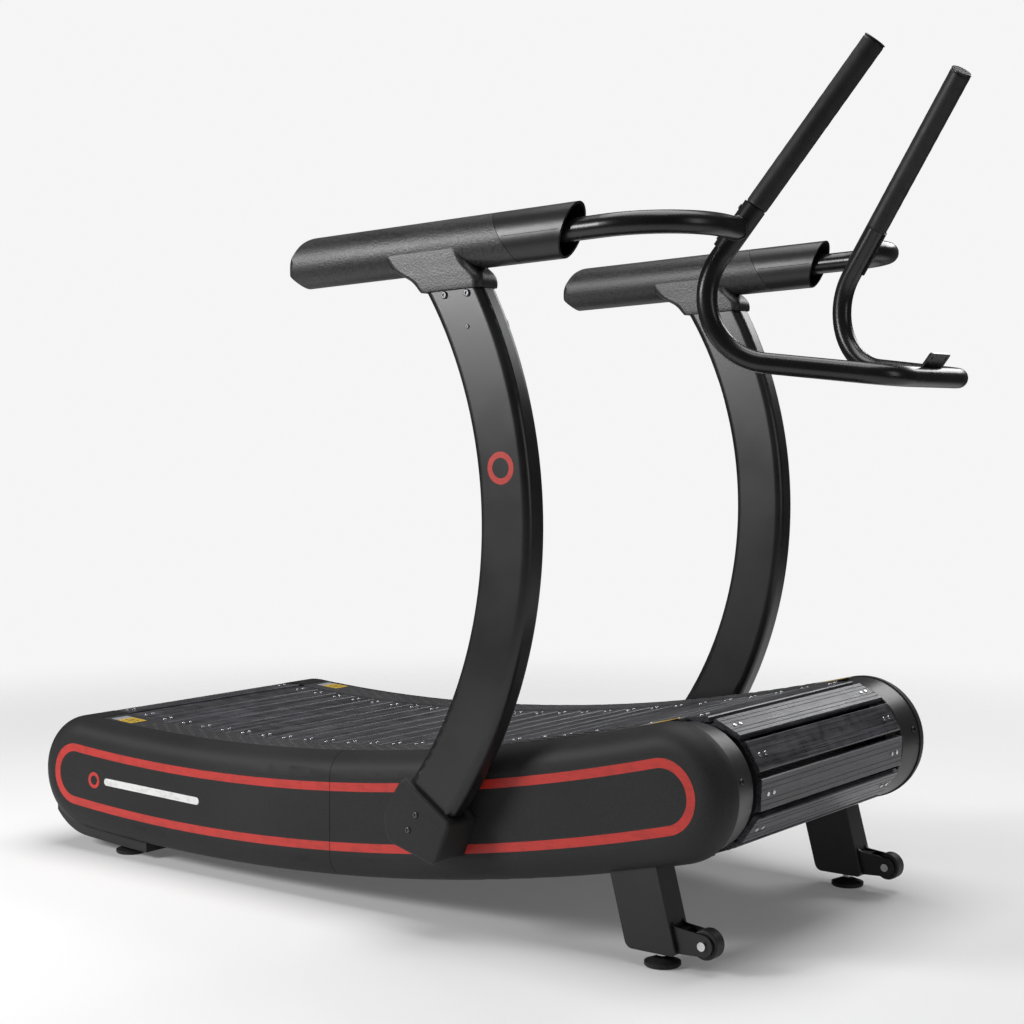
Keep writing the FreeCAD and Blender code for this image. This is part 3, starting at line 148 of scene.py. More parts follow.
# %% A socket in a sum, and the maker of nodes
class Wave:
    """The output of a node, standing in a Python expression."""

    def __init__(self, maker, socket):
        self.maker = maker
        self.socket = socket

    def join(self, operation, first, second):
        return self.maker.node("ShaderNodeMath", {"operation": operation}, {0: first, 1: second})

    def __add__(self, other):
        return self.join("ADD", self, other)

    __radd__ = __add__

    def __sub__(self, other):
        return self.join("SUBTRACT", self, other)

    def __rsub__(self, other):
        return self.join("SUBTRACT", other, self)

    def __mul__(self, other):
        return self.join("MULTIPLY", self, other)

    __rmul__ = __mul__

    def above(self, low, high):
        """0 below low, 1 over high, a smooth step between them."""
        settings = {"interpolation_type": "SMOOTHSTEP"}
        values = {"Value": self, "From Min": low, "From Max": high}
        return self.maker.node("ShaderNodeMapRange", settings, values)


class NodeMaker:
    """A node tree, and the one way that nodes come into it."""

    def __init__(self, tree):
        self.tree = tree

    def feed(self, socket, value):
        if isinstance(value, Wave):
            self.tree.links.new(value.socket, socket)
        else:
            socket.default_value = value

    def node(self, kind, settings=None, values=None, output=0):
        """A node of any kind: its settings first, then the values or links of its sockets."""
        made = self.tree.nodes.new(kind)
        for key, value in (settings or {}).items():
            setattr(made, key, value)
        for key, value in (values or {}).items():
            self.feed(made.inputs[key], value)
        return Wave(self, made.outputs[output])


# %% [markdown]
# ## A finish
#
# Every finish starts from one Principled shader.  What is the same all over the surface, such
# as how metallic it is, is set on the shader itself.  What varies over the surface is linked:
# colour, roughness, and a height that a Bump node turns into tilted normals.

# %% The finish class
class Finish(NodeMaker):
    """One material: a Principled shader and the nodes that feed it."""

    def __init__(self, name, **constants):
        self.material = bpy.data.materials.new(name)
        self.material.use_nodes = True
        super().__init__(self.material.node_tree)
        self.shader = self.tree.nodes["Principled BSDF"]
        for socket, value in constants.items():
            self.shader.inputs[socket.replace("_", " ")].default_value = value

    def place(self, scale=(1.0, 1.0, 1.0)):
        """Where a point is on the resting machine, stretched along the axes."""
        here = self.node("ShaderNodeTexCoord", output="Object")
        return self.node("ShaderNodeMapping", values={"Vector": here, "Scale": scale})

    def noise(self, scale, detail=2.0, stretch=(1.0, 1.0, 1.0)):
        """Soft noise between about 0.3 and 0.7, with this many waves to the metre."""
        values = {"Vector": self.place(stretch), "Scale": scale, "Detail": detail}
        return self.node("ShaderNodeTexNoise", values=values)

    def cells(self, scale):
        """Distance to the middle of the nearest cell, for pebbled grain."""
        values = {"Vector": self.place(), "Scale": scale}
        return self.node("ShaderNodeTexVoronoi", values=values)

    def tint(self, first, second, share):
        """First colour where share is 0, second where it is 1."""
        pick = {"data_type": "RGBA"}
        values = {0: share, 6: first, 7: second}
        return self.node("ShaderNodeMix", pick, values, output=2)

    def end(self, colour, roughness, height, depth, strength=1.0):
        """Links the three things that vary and returns the material."""
        self.feed(self.shader.inputs["Base Color"], colour)
        self.feed(self.shader.inputs["Roughness"], roughness)
        relief = {"Strength": strength, "Distance": depth, "Height": height}
        self.feed(self.shader.inputs["Normal"], self.node("ShaderNodeBump", values=relief))
        return self.material


def grey(level, blue=1.0):
    """A grey, or a slightly blue one, as an opaque colour."""
    return (level, level, level * blue, 1.0)


# %% [markdown]
# ## Powder coat
#
# The uprights, the legs and the tube frame are steel, sprayed with dry black powder and baked.
# The powder melts into a satin skin with a faint orange peel a millimetre or two across.
# Noise at three sizes does it: the two large ones cloud the colour and the roughness, as
# handling and dust do, and the small one lifts the surface by less than a tenth of a
# millimetre.

# %% Powder coat
def powder_coat(name, level, roughness, peel=650.0, depth=0.00009):
    f = Finish(name, Specular_IOR_Level=0.5)
    cloud = f.noise(7.0, 4.0)
    grain = f.noise(peel, 2.0)
    low, high = grey(level * 0.75, 1.06), grey(level * 1.35, 1.10)
    colour = f.tint(low, high, cloud.above(0.35, 0.65))
    smear = f.noise(2.6, 3.0, (1.0, 1.0, 0.35))
    rough = roughness + 0.16 * (cloud - 0.5) + 0.10 * (smear - 0.5) + 0.05 * (grain - 0.5)
    return f.end(colour, rough, grain, depth, 0.5)


post_paint = powder_coat("post_powder_coat", 0.011, 0.31)
frame_paint = powder_coat("frame_powder_coat", 0.010, 0.44)
tube_paint = powder_coat("tube_powder_coat", 0.008, 0.27, 520.0, 0.00004)
print("powder coats", post_paint.name, frame_paint.name, tube_paint.name)


# %% [markdown]
# ## Moulded plastic
#
# The covers come out of a steel mould whose faces were etched, so the plastic carries a fine
# even grain and stays matt.  The handrests use a much coarser grain, like dried leather, where
# the hands touch.  Cells of a Voronoi pattern, softened with noise, give both; only the size
# and the depth differ.

# %% Moulded plastic
def moulded(name, level, roughness, grain_scale, depth, blue=1.0, speckle=0.3, shine=0.42):
    f = Finish(name, Specular_IOR_Level=shine)
    pebble = f.cells(grain_scale)
    fuzz = f.noise(grain_scale * 0.6, 3.0)
    cloud = f.noise(5.0, 3.0)
    relief = pebble * 0.7 + fuzz * 0.5
    low = grey(level * (1 - speckle), blue)
    high = grey(level * (1 + speckle * 1.6), blue)
    share = (0.6 * fuzz + 0.4 * cloud).above(0.36, 0.64)
    rough = roughness + 0.14 * (fuzz - 0.5) + 0.10 * (cloud - 0.5)
    return f.end(f.tint(low, high, share), rough, relief, depth, 0.7)


cover_plastic = moulded("cover_fine_grain", 0.014, 0.58, 900.0, 0.00008, 1.03, 0.25, 0.30)
board_plastic = moulded("footboard_plastic", 0.036, 0.50, 700.0, 0.00012, 1.06)
ring_plastic = moulded("ring_satin_plastic", 0.020, 0.36, 1100.0, 0.00003, 1.04, 0.2, 0.55)
grained_plastic = moulded("handrest_leather_grain", 0.018, 0.42, 330.0, 0.00045, 1.06, 0.45, 0.5)
smooth_plastic = moulded("handrest_smooth_shell", 0.016, 0.34, 1200.0, 0.00001, 1.05, 0.10)
roller_plastic = moulded("roller_plastic", 0.030, 0.45, 800.0, 0.00005)
dial_plastic = moulded("dial_grey_plastic", 0.30, 0.45, 700.0, 0.00008, 1.02, 0.12)
print("plastics on", cover_plastic.name, "and six more")


# %% [markdown]
# ## Slats
#
# The running belt is a chain of extruded slats with long grooves.  They are black, and years
# of shoes draw fine streaks along them and leave pale dust in the grain.  The streaks are
# noise squeezed across the slat and stretched along it; the dust is a noise of its own,
# spread evenly over the belt.

# %% Slats
def slat_finish():
    f = Finish("slat_black_extrusion", Specular_IOR_Level=0.5)
    streak = f.noise(1.0, 3.0, (420.0, 7.0, 420.0))
    broad = f.noise(1.0, 2.0, (60.0, 2.5, 60.0))
    dust = f.noise(38.0, 5.0)
    grit = f.noise(1500.0, 1.0)
    share = (0.55 * streak + 0.30 * broad + 0.30 * dust).above(0.42, 0.80)
    colour = f.tint(grey(0.018, 1.12), grey(0.095, 1.16), share)
    rough = 0.33 + 0.30 * (streak - 0.5) + 0.25 * (dust - 0.5)
    return f.end(colour, rough, 0.6 * streak + 0.4 * grit, 0.00012, 0.6)


slat_black = slat_finish()
print("belt", slat_black.name)


# %% [markdown]
# ## Bright and dark metal
#
# Screws are zinc plated, turned parts show fine rings, the brake disc is bare aluminium.
# Metal has no colour of its own but its reflection, so its base colour is that reflection's
# tint, and the finish lies in the roughness.

# %% Metals
def metal(name, colour, roughness, scratch=(900.0, 900.0, 900.0), depth=0.00003):
    f = Finish(name, Metallic=1.0)
    lines = f.noise(1.0, 2.0, scratch)
    bloom = f.noise(45.0, 4.0)
    worn = tuple(c * 0.72 for c in colour[:3]) + (1.0,)
    rough = roughness + 0.22 * (lines - 0.5) + 0.25 * (bloom - 0.5)
    return f.end(f.tint(worn, colour, bloom.above(0.35, 0.6)), rough, lines, depth, 0.5)


screw_zinc = metal("bright_zinc", grey(0.72, 1.02), 0.22)
turned_steel = metal("turned_steel", grey(0.42, 1.02), 0.34, (700.0, 60.0, 700.0))
disc_aluminium = metal("turned_aluminium", grey(0.66, 1.01), 0.30, (500.0, 60.0, 500.0))
arm_zinc = metal("plated_arm", grey(0.30, 1.04), 0.42)
black_oxide = metal("black_oxide_screw", grey(0.11, 1.05), 0.36)
cast_black = powder_coat("cast_pulley_paint", 0.030, 0.58, 260.0, 0.00035)
print("metals from", screw_zinc.name, "to", cast_black.name)


# %% [markdown]
# ## Rubber
#
# Belts, wheels, foot pads and grips are rubber: nearly black, wide soft highlights, and a skin
# of tiny pores that holds a little grey dust.

# %% Rubber
def rubber(name, level, roughness, pores=1400.0, depth=0.00012, dust=2.2):
    f = Finish(name, Specular_IOR_Level=0.38)
    skin = f.noise(pores, 3.0)
    patch = f.noise(14.0, 4.0)
    share = (0.5 * skin + 0.5 * patch).above(0.44, 0.66)
    colour = f.tint(grey(level), grey(level * dust), share)
    rough = roughness + 0.20 * (patch - 0.5) + 0.10 * (skin - 0.5)
    return f.end(colour, rough, skin, depth, 0.6)


belt_rubber = rubber("belt_rubber", 0.012, 0.70)
wheel_rubber = rubber("wheel_rubber", 0.013, 0.55)
foot_rubber = rubber("foot_rubber", 0.011, 0.66)
grip_rubber = rubber("grip_foam_rubber", 0.012, 0.50, 1100.0, 0.00018)
print("rubbers from", belt_rubber.name, "to", grip_rubber.name)


# %% [markdown]
# ## Printed vinyl
#
# The bands and marks on the covers are cut vinyl: an even colour, a little gloss, the faint
# ripple of a film that was pressed down by hand, and fine scuffs.

# %% Vinyl
def vinyl(name, colour, roughness=0.42):
    f = Finish(name, Specular_IOR_Level=0.45)
    ripple = f.noise(60.0, 3.0)
    scuff = f.noise(1.0, 4.0, (30.0, 30.0, 260.0))
    deep = tuple(c * 0.82 for c in colour[:3]) + (1.0,)
    share = (0.5 * ripple + 0.5 * scuff).above(0.38, 0.56)
    rough = roughness + 0.25 * (scuff - 0.5)
    return f.end(f.tint(deep, colour, share), rough, ripple, 0.00012, 0.5)


red_vinyl = vinyl("red_vinyl", (0.520, 0.030, 0.022, 1.0))
white_vinyl = vinyl("white_vinyl", (0.78, 0.78, 0.77, 1.0), 0.46)
# Black vinyl for two things: painted shade of the groove round each red band, and the dark parting
# lines of the handrest tips.
groove_shade_and_joint_black = vinyl("groove_shade_and_joint_black", (0.006, 0.006, 0.007, 1.0), 0.60)
print("vinyls", red_vinyl.name, white_vinyl.name, groove_shade_and_joint_black.name)


# %% [markdown]
# ## Each CAD node takes its finish
#
# The CAD's pieces keep their meshes and their places.  Only their material slots change, and
# the list below is the machine's parts list in a painter's words.  The first start of a name
# that fits is taken, so a longer start such as "post_boots" stands before "post_".

# %% Finishes on the CAD nodes
PAINT_LIST = {
    "slat_screws_": screw_zinc,
    "slats_": slat_black,
    "belts_": belt_rubber,
    "post_boots": cover_plastic,
    "post_brackets": frame_paint,
    "post_": post_paint,
    "front_pulleys": cast_black,
    "rear_pulleys": cast_black,
    "front_axle": turned_steel,
    "rear_axle": turned_steel,
    "axle_bearings": cast_black,
    "belt_tensioners": turned_steel,
    "side_frames": frame_paint,
    "cross_members": frame_paint,
    "deck_rollers": roller_plastic,
    "front_cover_": cover_plastic,
    "rear_cover_": cover_plastic,
    "front_rings": ring_plastic,
    "cover_supports": frame_paint,
    "roller_studs": turned_steel,
    "footboard_": board_plastic,
    "handrest_rear_": grained_plastic,
    "handrest_front_shells": smooth_plastic,
    "side_tubes": tube_paint,
    "console_bar": tube_paint,
    "console_bracket": tube_paint,
    "bar_saddles": tube_paint,
    "grips": grip_rubber,
    "grip_caps": smooth_plastic,
    "front_leg_": frame_paint,
    "wheel_forks": frame_paint,
    "wheel_bolts": screw_zinc,
    "wheel_": wheel_rubber,
    "front_foot_": foot_rubber,
    "rear_foot_brackets": frame_paint,
    "rear_foot_": foot_rubber,
    "foot_locknuts": screw_zinc,
    "brake_disc": disc_aluminium,
    "magnet_arm": arm_zinc,
    "resistance_housing": smooth_plastic,
    "resistance_dial": dial_plastic,
    "trim_screws": black_oxide,
}

unpainted = []
for node_name, node in nodes.items():
    matches = (paint for start, paint in PAINT_LIST.items() if node_name.startswith(start))
    finish = next(matches, None)
    if finish is None:
        unpainted.append(node_name)
        continue
    node.data.materials.clear()
    node.data.materials.append(finish)
print("nodes without a finish:", unpainted)


# %% [markdown]
# ## Bands on the covers
#
# A red line runs round each side cover, concentric with the cover's own curve, and a black strip
# under it frames it: painted shade of a thin groove that is not cut into the cover.  The line is
# a strip carried along a path: along the upper arc, round the drum, and back along the lower arc.
# Each cover carries its own half, so the gap between the covers stays open.
#
# One thing is left to mend.  The faces of these strips look inwards, and so do those of the
# rings and the parting lines further on.  They are closed and opaque and render the same;
# the opposite flip handed to wound would turn them out.

# %% The band's path
BAND_HALF = 0.0520
BAND_WIDTH = 0.0158
GROOVE_WIDTH = 0.0194
ARC_POINTS = 40
END_POINTS = 34


def band_path(half, front):
    """Points and outward normals round one end of the slot, half its height off the middle.

    Arc 1: centre + (R - half)(cos a, sin a) from the seam to the drum, then a half circle of
    radius half about the drum, then the arc of radius R + half back to the seam."""
    drum, drum_angle = (FRONT_DRUM, FRONT_ANGLE) if front else (REAR_DRUM, REAR_ANGLE)
    edge_x = SEAM_X + (SEAM_HALF if front else -SEAM_HALF)
    radii = MIDDLE_RADIUS + half * np.array([-1.0, 1.0])
    upper_end, lower_end = -np.arccos((edge_x - ARC_CENTRE[0]) / radii)
    upper = np.linspace(upper_end, drum_angle, ARC_POINTS)
    lower = np.linspace(drum_angle, lower_end, ARC_POINTS)
    turn = math.pi if front else -math.pi
    round_end = drum_angle + math.pi - np.linspace(0, turn, END_POINTS)[1:-1]
    radial = np.concatenate([upper, lower])
    across = np.stack([np.cos(radial), np.sin(radial)], axis=1)
    arcs = ARC_CENTRE + across * np.repeat(radii, ARC_POINTS)[:, None]
    bend = np.stack([np.cos(round_end), np.sin(round_end)], axis=1)
    points = np.concatenate([arcs[:ARC_POINTS], drum + bend * half, arcs[ARC_POINTS:]])
    normals = np.concatenate([-across[:ARC_POINTS], bend, across[ARC_POINTS:]])
    return points, normals


def flat_strip(path, normals, width, face, lift, side):
    """Rectangle of a width and a lift carried along a side-view path on a face at |y| = face.

    Corner k of section i: path[i] + normals[i] * across[k], at y = side * (face + out[k])."""
    across = np.array([-0.5, -0.47, 0.47, 0.5]) * width
    out = np.array([-SUNK, lift, lift, -SUNK])
    xz = path[:, None, :] + normals[:, None, :] * across[None, :, None]
    y = np.broadcast_to(side * (face + out), xz.shape[:2])
    return np.stack([xz[..., 0], y, xz[..., 1]], axis=-1)


# %% Lay the bands
LAYERS = (
    # The groove layer is painted shade: a black strip where a thin groove round the band would fall
    # dark.
    ("groove", GROOVE_WIDTH, 0.00010, groove_shade_and_joint_black),
    ("band", BAND_WIDTH, 0.00030, red_vinyl),
)
for side, side_name in SIDES:
    for front, end_name in ((True, "front"), (False, "rear")):
        points, normals = band_path(BAND_HALF, front)
        for layer, width, lift, finish in LAYERS:
            strip = flat_strip(points, normals, width, COVER_FACE, lift, side)
            strip = wound(strip, (side > 0) == front)
            strip = mesh_piece(f"cover_{layer}_{end_name}_{side_name}", strip, smooth=False)
            dress(strip, "frame", finish)


# %% [markdown]
# ## Low solids cut from sheet
#
# Marks, labels and the studs of the anti-slip pattern are one kind of thing: an outline, a few
# rings that shrink as they rise, and a lid.  The outline used here is the stadium, a bar with
# round ends, which also gives a disc when its length is nothing.

# %% Studs
def stadium(length, width, count=12):
    """Closed outline of a bar with round ends: a half circle at each end, moved apart."""
    a = (np.arange(count) + 0.5) / count * 2 * math.pi
    shift = np.sign(np.cos(a)) * (length - width) / 2
    return np.stack([np.cos(a) * width / 2 + shift, np.sin(a) * width / 2], axis=1)


def raised(outline, steps):
    """Rings of an outline, as (rings, points, 3): each step is (inset, height).

    Point: outline (1 - inset / reach), at that height."""
    reach = np.abs(outline).max(axis=0)
    inset, height = np.array(steps).T[:, :, None, None]
    ring = outline * (1 - inset / reach)
    return np.concatenate([ring, np.broadcast_to(height, ring[..., :1].shape)], axis=-1)


# %% [markdown]
# ## Anti-slip pattern on the footboards
#
# On each side of the belt a plastic board lets the runner stand clear.  Short raised bars,
# laid like bricks in five rows, give the sole a grip.  One bar is a stud of a few dozen faces;
# all its copies are placed at once, by turning the stud's local axes to the board's curve.

# %% The footboard pattern
BOARD_RISE = 0.1095
BOARD_TOP = MIDDLE_RADIUS - BOARD_RISE
BAR_LENGTH, BAR_WIDTH = 0.0235, 0.0058
BAR_PITCH = 0.034
BAR_STEPS = [(0.0, -0.0004), (0.0, 0.0006), (0.0005, 0.0012), (0.0011, 0.0014)]
ROW_YS = 0.2570 + 0.0128 * np.arange(5)
PATTERN_ENDS = np.array([-0.628, 0.508])


def on_board(local, s, y, side):
    """Local (along, across, up) carried to the board: angle = s/R, radius = R - up."""
    angle = (s[:, None, None] + local[None, ..., 0]) / BOARD_TOP
    radius = BOARD_TOP - np.broadcast_to(local[None, ..., 2], angle.shape)
    x = ARC_CENTRE[0] + radius * np.cos(angle)
    z = ARC_CENTRE[1] + radius * np.sin(angle)
    across = side * (y[:, None, None] + local[None, ..., 1])
    return np.stack([x, across, z], axis=-1)


def along_board(x):
    """Distance along the board's arc of a place x: R times the angle there."""
    return -BOARD_TOP * np.arccos((x - ARC_CENTRE[0]) / BOARD_TOP)


# %% Lay the pattern
bar = raised(stadium(BAR_LENGTH, BAR_WIDTH), BAR_STEPS)
columns = np.arange(*along_board(PATTERN_ENDS), BAR_PITCH)
half_steps = BAR_PITCH / 2 * (np.arange(len(ROW_YS)) % 2)
bar_s = (columns + half_steps[:, None]).ravel()
bar_y = np.repeat(ROW_YS, len(columns))
for side, side_name in SIDES:
    bars = wound(on_board(bar, bar_s, bar_y, side), side < 0)
    treads = mesh_piece(f"footboard_treads_{side_name}", bars)
    dress(treads, "frame", board_plastic)


# %% [markdown]
# ## Labels
#
# A pale and yellow label sits at each end of both footboards.  The real ones carry words; these
# carry plain bars.  The label is one more low solid on the board, and its print is worked out
# from the piece's own UV map: u along the label, v across it.

# %% Label finish
def label_finish():
    f = Finish("yellow_label", Specular_IOR_Level=0.45)
    place = {"Vector": f.node("ShaderNodeUVMap", {"uv_map": "label"})}
    u = f.node("ShaderNodeSeparateXYZ", values=place, output=0)
    v = f.node("ShaderNodeSeparateXYZ", values=place, output=1)
    rows = f.node("ShaderNodeMath", {"operation": "PINGPONG"}, {0: v * 4.0, 1: 0.5})
    inside = u.above(0.40, 0.41) * (1 - u.above(0.90, 0.91))
    inside = inside * v.above(0.12, 0.14) * (1 - v.above(0.86, 0.88))
    ink = rows.above(0.28, 0.32) * inside
    wear = f.noise(220.0, 4.0).above(0.40, 0.66)
    ground = f.tint((0.30, 0.31, 0.33, 1.0), (0.62, 0.40, 0.035, 1.0), u.above(0.30, 0.31))
    printed = f.tint(ground, (0.02, 0.02, 0.02, 1.0), ink)
    colour = f.tint(printed, (0.10, 0.09, 0.07, 1.0), wear * 0.35)
    return f.end(colour, 0.42 + 0.2 * wear, wear, 0.00005, 0.5)


yellow_label = label_finish()
print("label", yellow_label.name)


# %% Lay the labels
LABEL_LENGTH, LABEL_WIDTH = 0.058, 0.040
LABEL_HEIGHT = 0.00035
FILM_THICKNESS = 0.0003
LABEL_PLACES = (("rear", -0.690, 0.290), ("front", 0.545, 0.286))

uv = np.stack(np.meshgrid(np.linspace(0, 1, 13), np.linspace(0, 1, 9), indexing="ij"), axis=-1)
film = (uv - 0.5) * [LABEL_LENGTH, LABEL_WIDTH]
film = np.concatenate([film, np.full(uv.shape[:2] + (1,), LABEL_HEIGHT)], axis=-1)
for end_name, x, y in LABEL_PLACES:
    for side, side_name in SIDES:
        grid = wound(on_board(film, along_board(np.array([x])), np.array([y]), side), side < 0)
        name = f"label_{end_name}_{side_name}"
        label = mesh_piece(name, grid, wrap_cols=False, lids=False, smooth=False)
        corners = np.zeros(len(label.data.loops), int)
        label.data.loops.foreach_get("vertex_index", corners)
        coords = wound(uv, side < 0).reshape(-1, 2)[corners]
        label.data.uv_layers.new(name="label").data.foreach_set("uv", coords.ravel())
        backing = label.modifiers.new("film", "SOLIDIFY")
        backing.thickness = FILM_THICKNESS
        backing.offset = -1.0
        dress(label, "frame", yellow_label)


# %% [markdown]
# ## Plain marks in place of the maker's
#
# The uprights and the rear covers carry the maker's sign.  Here a plain red ring and a plain
# white bar stand in the same places, so the machine keeps its spots of colour and
# nobody's name.  A ring is a small flat profile turned about its axis.

# %% Rings and bars
MARK_EDGE = 0.0003


def flat_ring(centre, face, outer, inner, lift, side, count=64):
    """Profile of a washer turned about the Y axis through (x, z) = centre.

    Point: centre + r (cos a, sin a), y = side (face + out), for four corners (r, out)."""
    a = np.linspace(0, 2 * math.pi, count, endpoint=False)[:, None]
    r = np.array([inner, inner + MARK_EDGE, outer - MARK_EDGE, outer])[None, :]
    out = np.array([-SUNK, lift, lift, -SUNK])[None, :]
    x = centre[0] + r * np.cos(a)
    z = centre[1] + r * np.sin(a)
    y = np.broadcast_to(side * (face + out), x.shape)
    return np.stack([x, y, z], axis=-1)


def flat_bar(centre, face, length, width, lift, side):
    """Stadium outline lifted off a side face, leaning with the cover's curve there."""
    lean = math.asin((centre[0] - ARC_CENTRE[0]) / MIDDLE_RADIUS)
    steps = [(0.0, -SUNK), (0.0, lift), (MARK_EDGE, lift + 0.00005)]
    rings = raised(stadium(length, width, 32), steps)
    x = centre[0] + rings[..., 0] * math.cos(lean) - rings[..., 1] * math.sin(lean)
    z = centre[1] + rings[..., 0] * math.sin(lean) + rings[..., 1] * math.cos(lean)
    return np.stack([x, side * (face + rings[..., 2]), z], axis=-1)


# %% Lay the marks
POST_FACE = 0.421
MARK_LIFT = 0.0003
RINGS = (
    ("post_mark", (0.3297, 0.7713), POST_FACE, 0.026, 0.016),
    ("cover_mark", (-0.712, 0.145), COVER_FACE, 0.016, 0.009),
)
COVER_BAR = (-0.551, 0.143)
COVER_BAR_LENGTH, COVER_BAR_WIDTH = 0.262, 0.014
for side, side_name in SIDES:
    for mark_name, centre, face, outer, inner in RINGS:
        ring = wound(flat_ring(centre, face, outer, inner, MARK_LIFT, side), side < 0)
        ring = mesh_piece(f"{mark_name}_{side_name}", ring, wrap_rows=True, smooth=False)
        dress(ring, "frame", red_vinyl)
    plate = flat_bar(COVER_BAR, COVER_FACE, COVER_BAR_LENGTH, COVER_BAR_WIDTH, MARK_LIFT, side)
    plate = mesh_piece(f"cover_bar_{side_name}", wound(plate, side > 0), smooth=False)
    dress(plate, "frame", white_vinyl)


# %% [markdown]
# ## Grips
#
# The two long hand grips are foam rubber sleeves, rolled on over the tube.  A real sleeve is
# never quite straight: it swells a little, thins towards its rolled ends, and its skin ripples
# where it was pushed along.  It is a tube whose radius depends on the distance along it, with
# a rolled edge at each end and an inner wall that lies on the steel.

# %% Grip sleeves
BAR_TOP = np.array([0.8355, 0.1577, 1.4191])
BAR_KNEE = np.array([0.5011, 0.2508, 0.9543])
TUBE_RADIUS = 0.0165
GRIP_RADIUS = 0.0180
GRIP_SHARE = 0.52
SLEEVE_CLEARANCE = 0.00005
bar_length = float(np.linalg.norm(BAR_KNEE - BAR_TOP))
bar_axis = (BAR_KNEE - BAR_TOP) / bar_length


def cross_axes(direction):
    """Two unit vectors square to a direction and to each other."""
    side_way = np.cross([0.0, 0.0, 1.0], direction)
    side_way /= np.linalg.norm(side_way)
    return side_way, np.cross(direction, side_way)


def sleeve(start, direction, length, inner, outer, around=48, along=120):
    """Radius along t: outer minus rolled ends minus ripples; then back along the inner wall."""
    t = np.linspace(0, length, along)
    edge = np.minimum(t, length - t)
    roll = 0.0011 * np.exp(-((edge / 0.0016) ** 2))
    ripple = 0.00012 * (np.sin(t * 260) * np.sin(t * 31 + 1) - 1)
    radius = np.concatenate([outer - roll + ripple, np.full(2, inner)])
    reach = np.concatenate([t, [length, 0.0]])
    a = np.linspace(0, 2 * math.pi, around, endpoint=False)
    u, v = cross_axes(direction)
    circle = np.cos(a)[None, :, None] * u + np.sin(a)[None, :, None] * v
    return start + reach[:, None, None] * direction + radius[:, None, None] * circle


grip_bore = TUBE_RADIUS + SLEEVE_CLEARANCE
grip_skin = sleeve(BAR_TOP, bar_axis, bar_length * GRIP_SHARE, grip_bore, GRIP_RADIUS)
for side, side_name in SIDES:
    grip = mesh_piece(f"grip_sleeve_{side_name}", mirror_y(grip_skin, side), wrap_rows=True)
    dress(grip, "frame", grip_rubber)
    if side > 0:
        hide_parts("grips")


# %% [markdown]
# ## Weld beads
#
# The bent side tube is welded to a saddle on the grip bar.  A weld is a row of overlapping
# ripples, so the bead is a thin ring whose thickness beats along its length.  It follows the
# line where the side tube's cylinder meets the saddle's.

# %% The weld at the saddle
SIDE_TUBE_RADIUS = 0.018
SADDLE_RADIUS = TUBE_RADIUS + 0.0035
BEAD_RADIUS = 0.0022
BEAD_RIPPLES = 26
RAIL_Y = 0.397
RAIL_REAR = (-0.095, 1.110)
RAIL_RISE = 0.0515
TUBE_BEND_X = 0.648
WELD_SHARE = 0.5935


def rail_point(x):
    """Point or points on the handrest's middle line: rear height + (x - rear x) times the rise."""
    return np.array([x, RAIL_Y + 0 * x, RAIL_REAR[1] + (x - RAIL_REAR[0]) * RAIL_RISE])


tube_end = BAR_TOP + (BAR_KNEE - BAR_TOP) * WELD_SHARE
tube_way = tube_end - rail_point(TUBE_BEND_X)
tube_way /= np.linalg.norm(tube_way)


def meeting_line(around=96):
    """Where lines along the side tube's skin, taken backwards, come to the saddle's radius.

    A point p + s d is at the saddle's radius when the part of it square to the bar has that
    length, which is a quadratic in s for each line."""
    a = np.linspace(0, 2 * math.pi, around, endpoint=False)
    u, v = cross_axes(tube_way)
    skin = tube_end + SIDE_TUBE_RADIUS * (np.cos(a)[:, None] * u + np.sin(a)[:, None] * v)
    square = np.eye(3) - np.outer(bar_axis, bar_axis)
    p = (skin - BAR_TOP) @ square
    d = square @ tube_way
    b = p @ d
    c = (p**2).sum(axis=1) - SADDLE_RADIUS**2
    inside = b**2 - (d @ d) * c
    s = (-b - np.sqrt(np.maximum(inside, 0))) / (d @ d)
    return skin + s[:, None] * tube_way, inside.min()


def bead(path, radius, ripples, round_count=8):
    """Thin tube round a closed path: its radius r (0.92 + 0.16 |sin|) beats with the ripples."""
    ahead = np.roll(path, -1, axis=0) - np.roll(path, 1, axis=0)
    ahead /= np.linalg.norm(ahead, axis=1)[:, None]
    out = path - path.mean(axis=0)
    out -= (out * ahead).sum(axis=1)[:, None] * ahead
    out /= np.linalg.norm(out, axis=1)[:, None]
    up = np.cross(ahead, out)
    phase = np.arange(len(path)) / len(path) * math.pi * ripples
    beat = radius * (0.92 + 0.16 * np.abs(np.sin(phase)))
    a = np.linspace(0, 2 * math.pi, round_count, endpoint=False)
    ring = np.cos(a)[None, :, None] * out[:, None] + np.sin(a)[None, :, None] * up[:, None]
    return path[:, None] + beat[:, None, None] * ring


weld_path, least = meeting_line()
print("weld from", weld_path.min(axis=0).round(3), "to", weld_path.max(axis=0).round(3))
print("the quadratic's smallest discriminant", least)
weld_skin = bead(weld_path, BEAD_RADIUS, BEAD_RIPPLES)
for side, side_name in SIDES:
    weld = mesh_piece(f"saddle_weld_{side_name}", mirror_y(weld_skin, side), wrap_rows=True)
    dress(weld, "frame", tube_paint)


# %% [markdown]
# ## Parting line of the handrest tips
#
# The smooth tips of the handrests are two half shells clipped together, and the joint shows as
# a fine dark line half way up.  It is a hair-thin strip that follows the handrest.

# %% Parting lines
REST_HALF_WIDTH = 0.0295
TIP_REAR, TIP_FRONT = 0.3340, 0.4430
LINE_HALF = 0.0005
LINE_LIFT = 0.00006


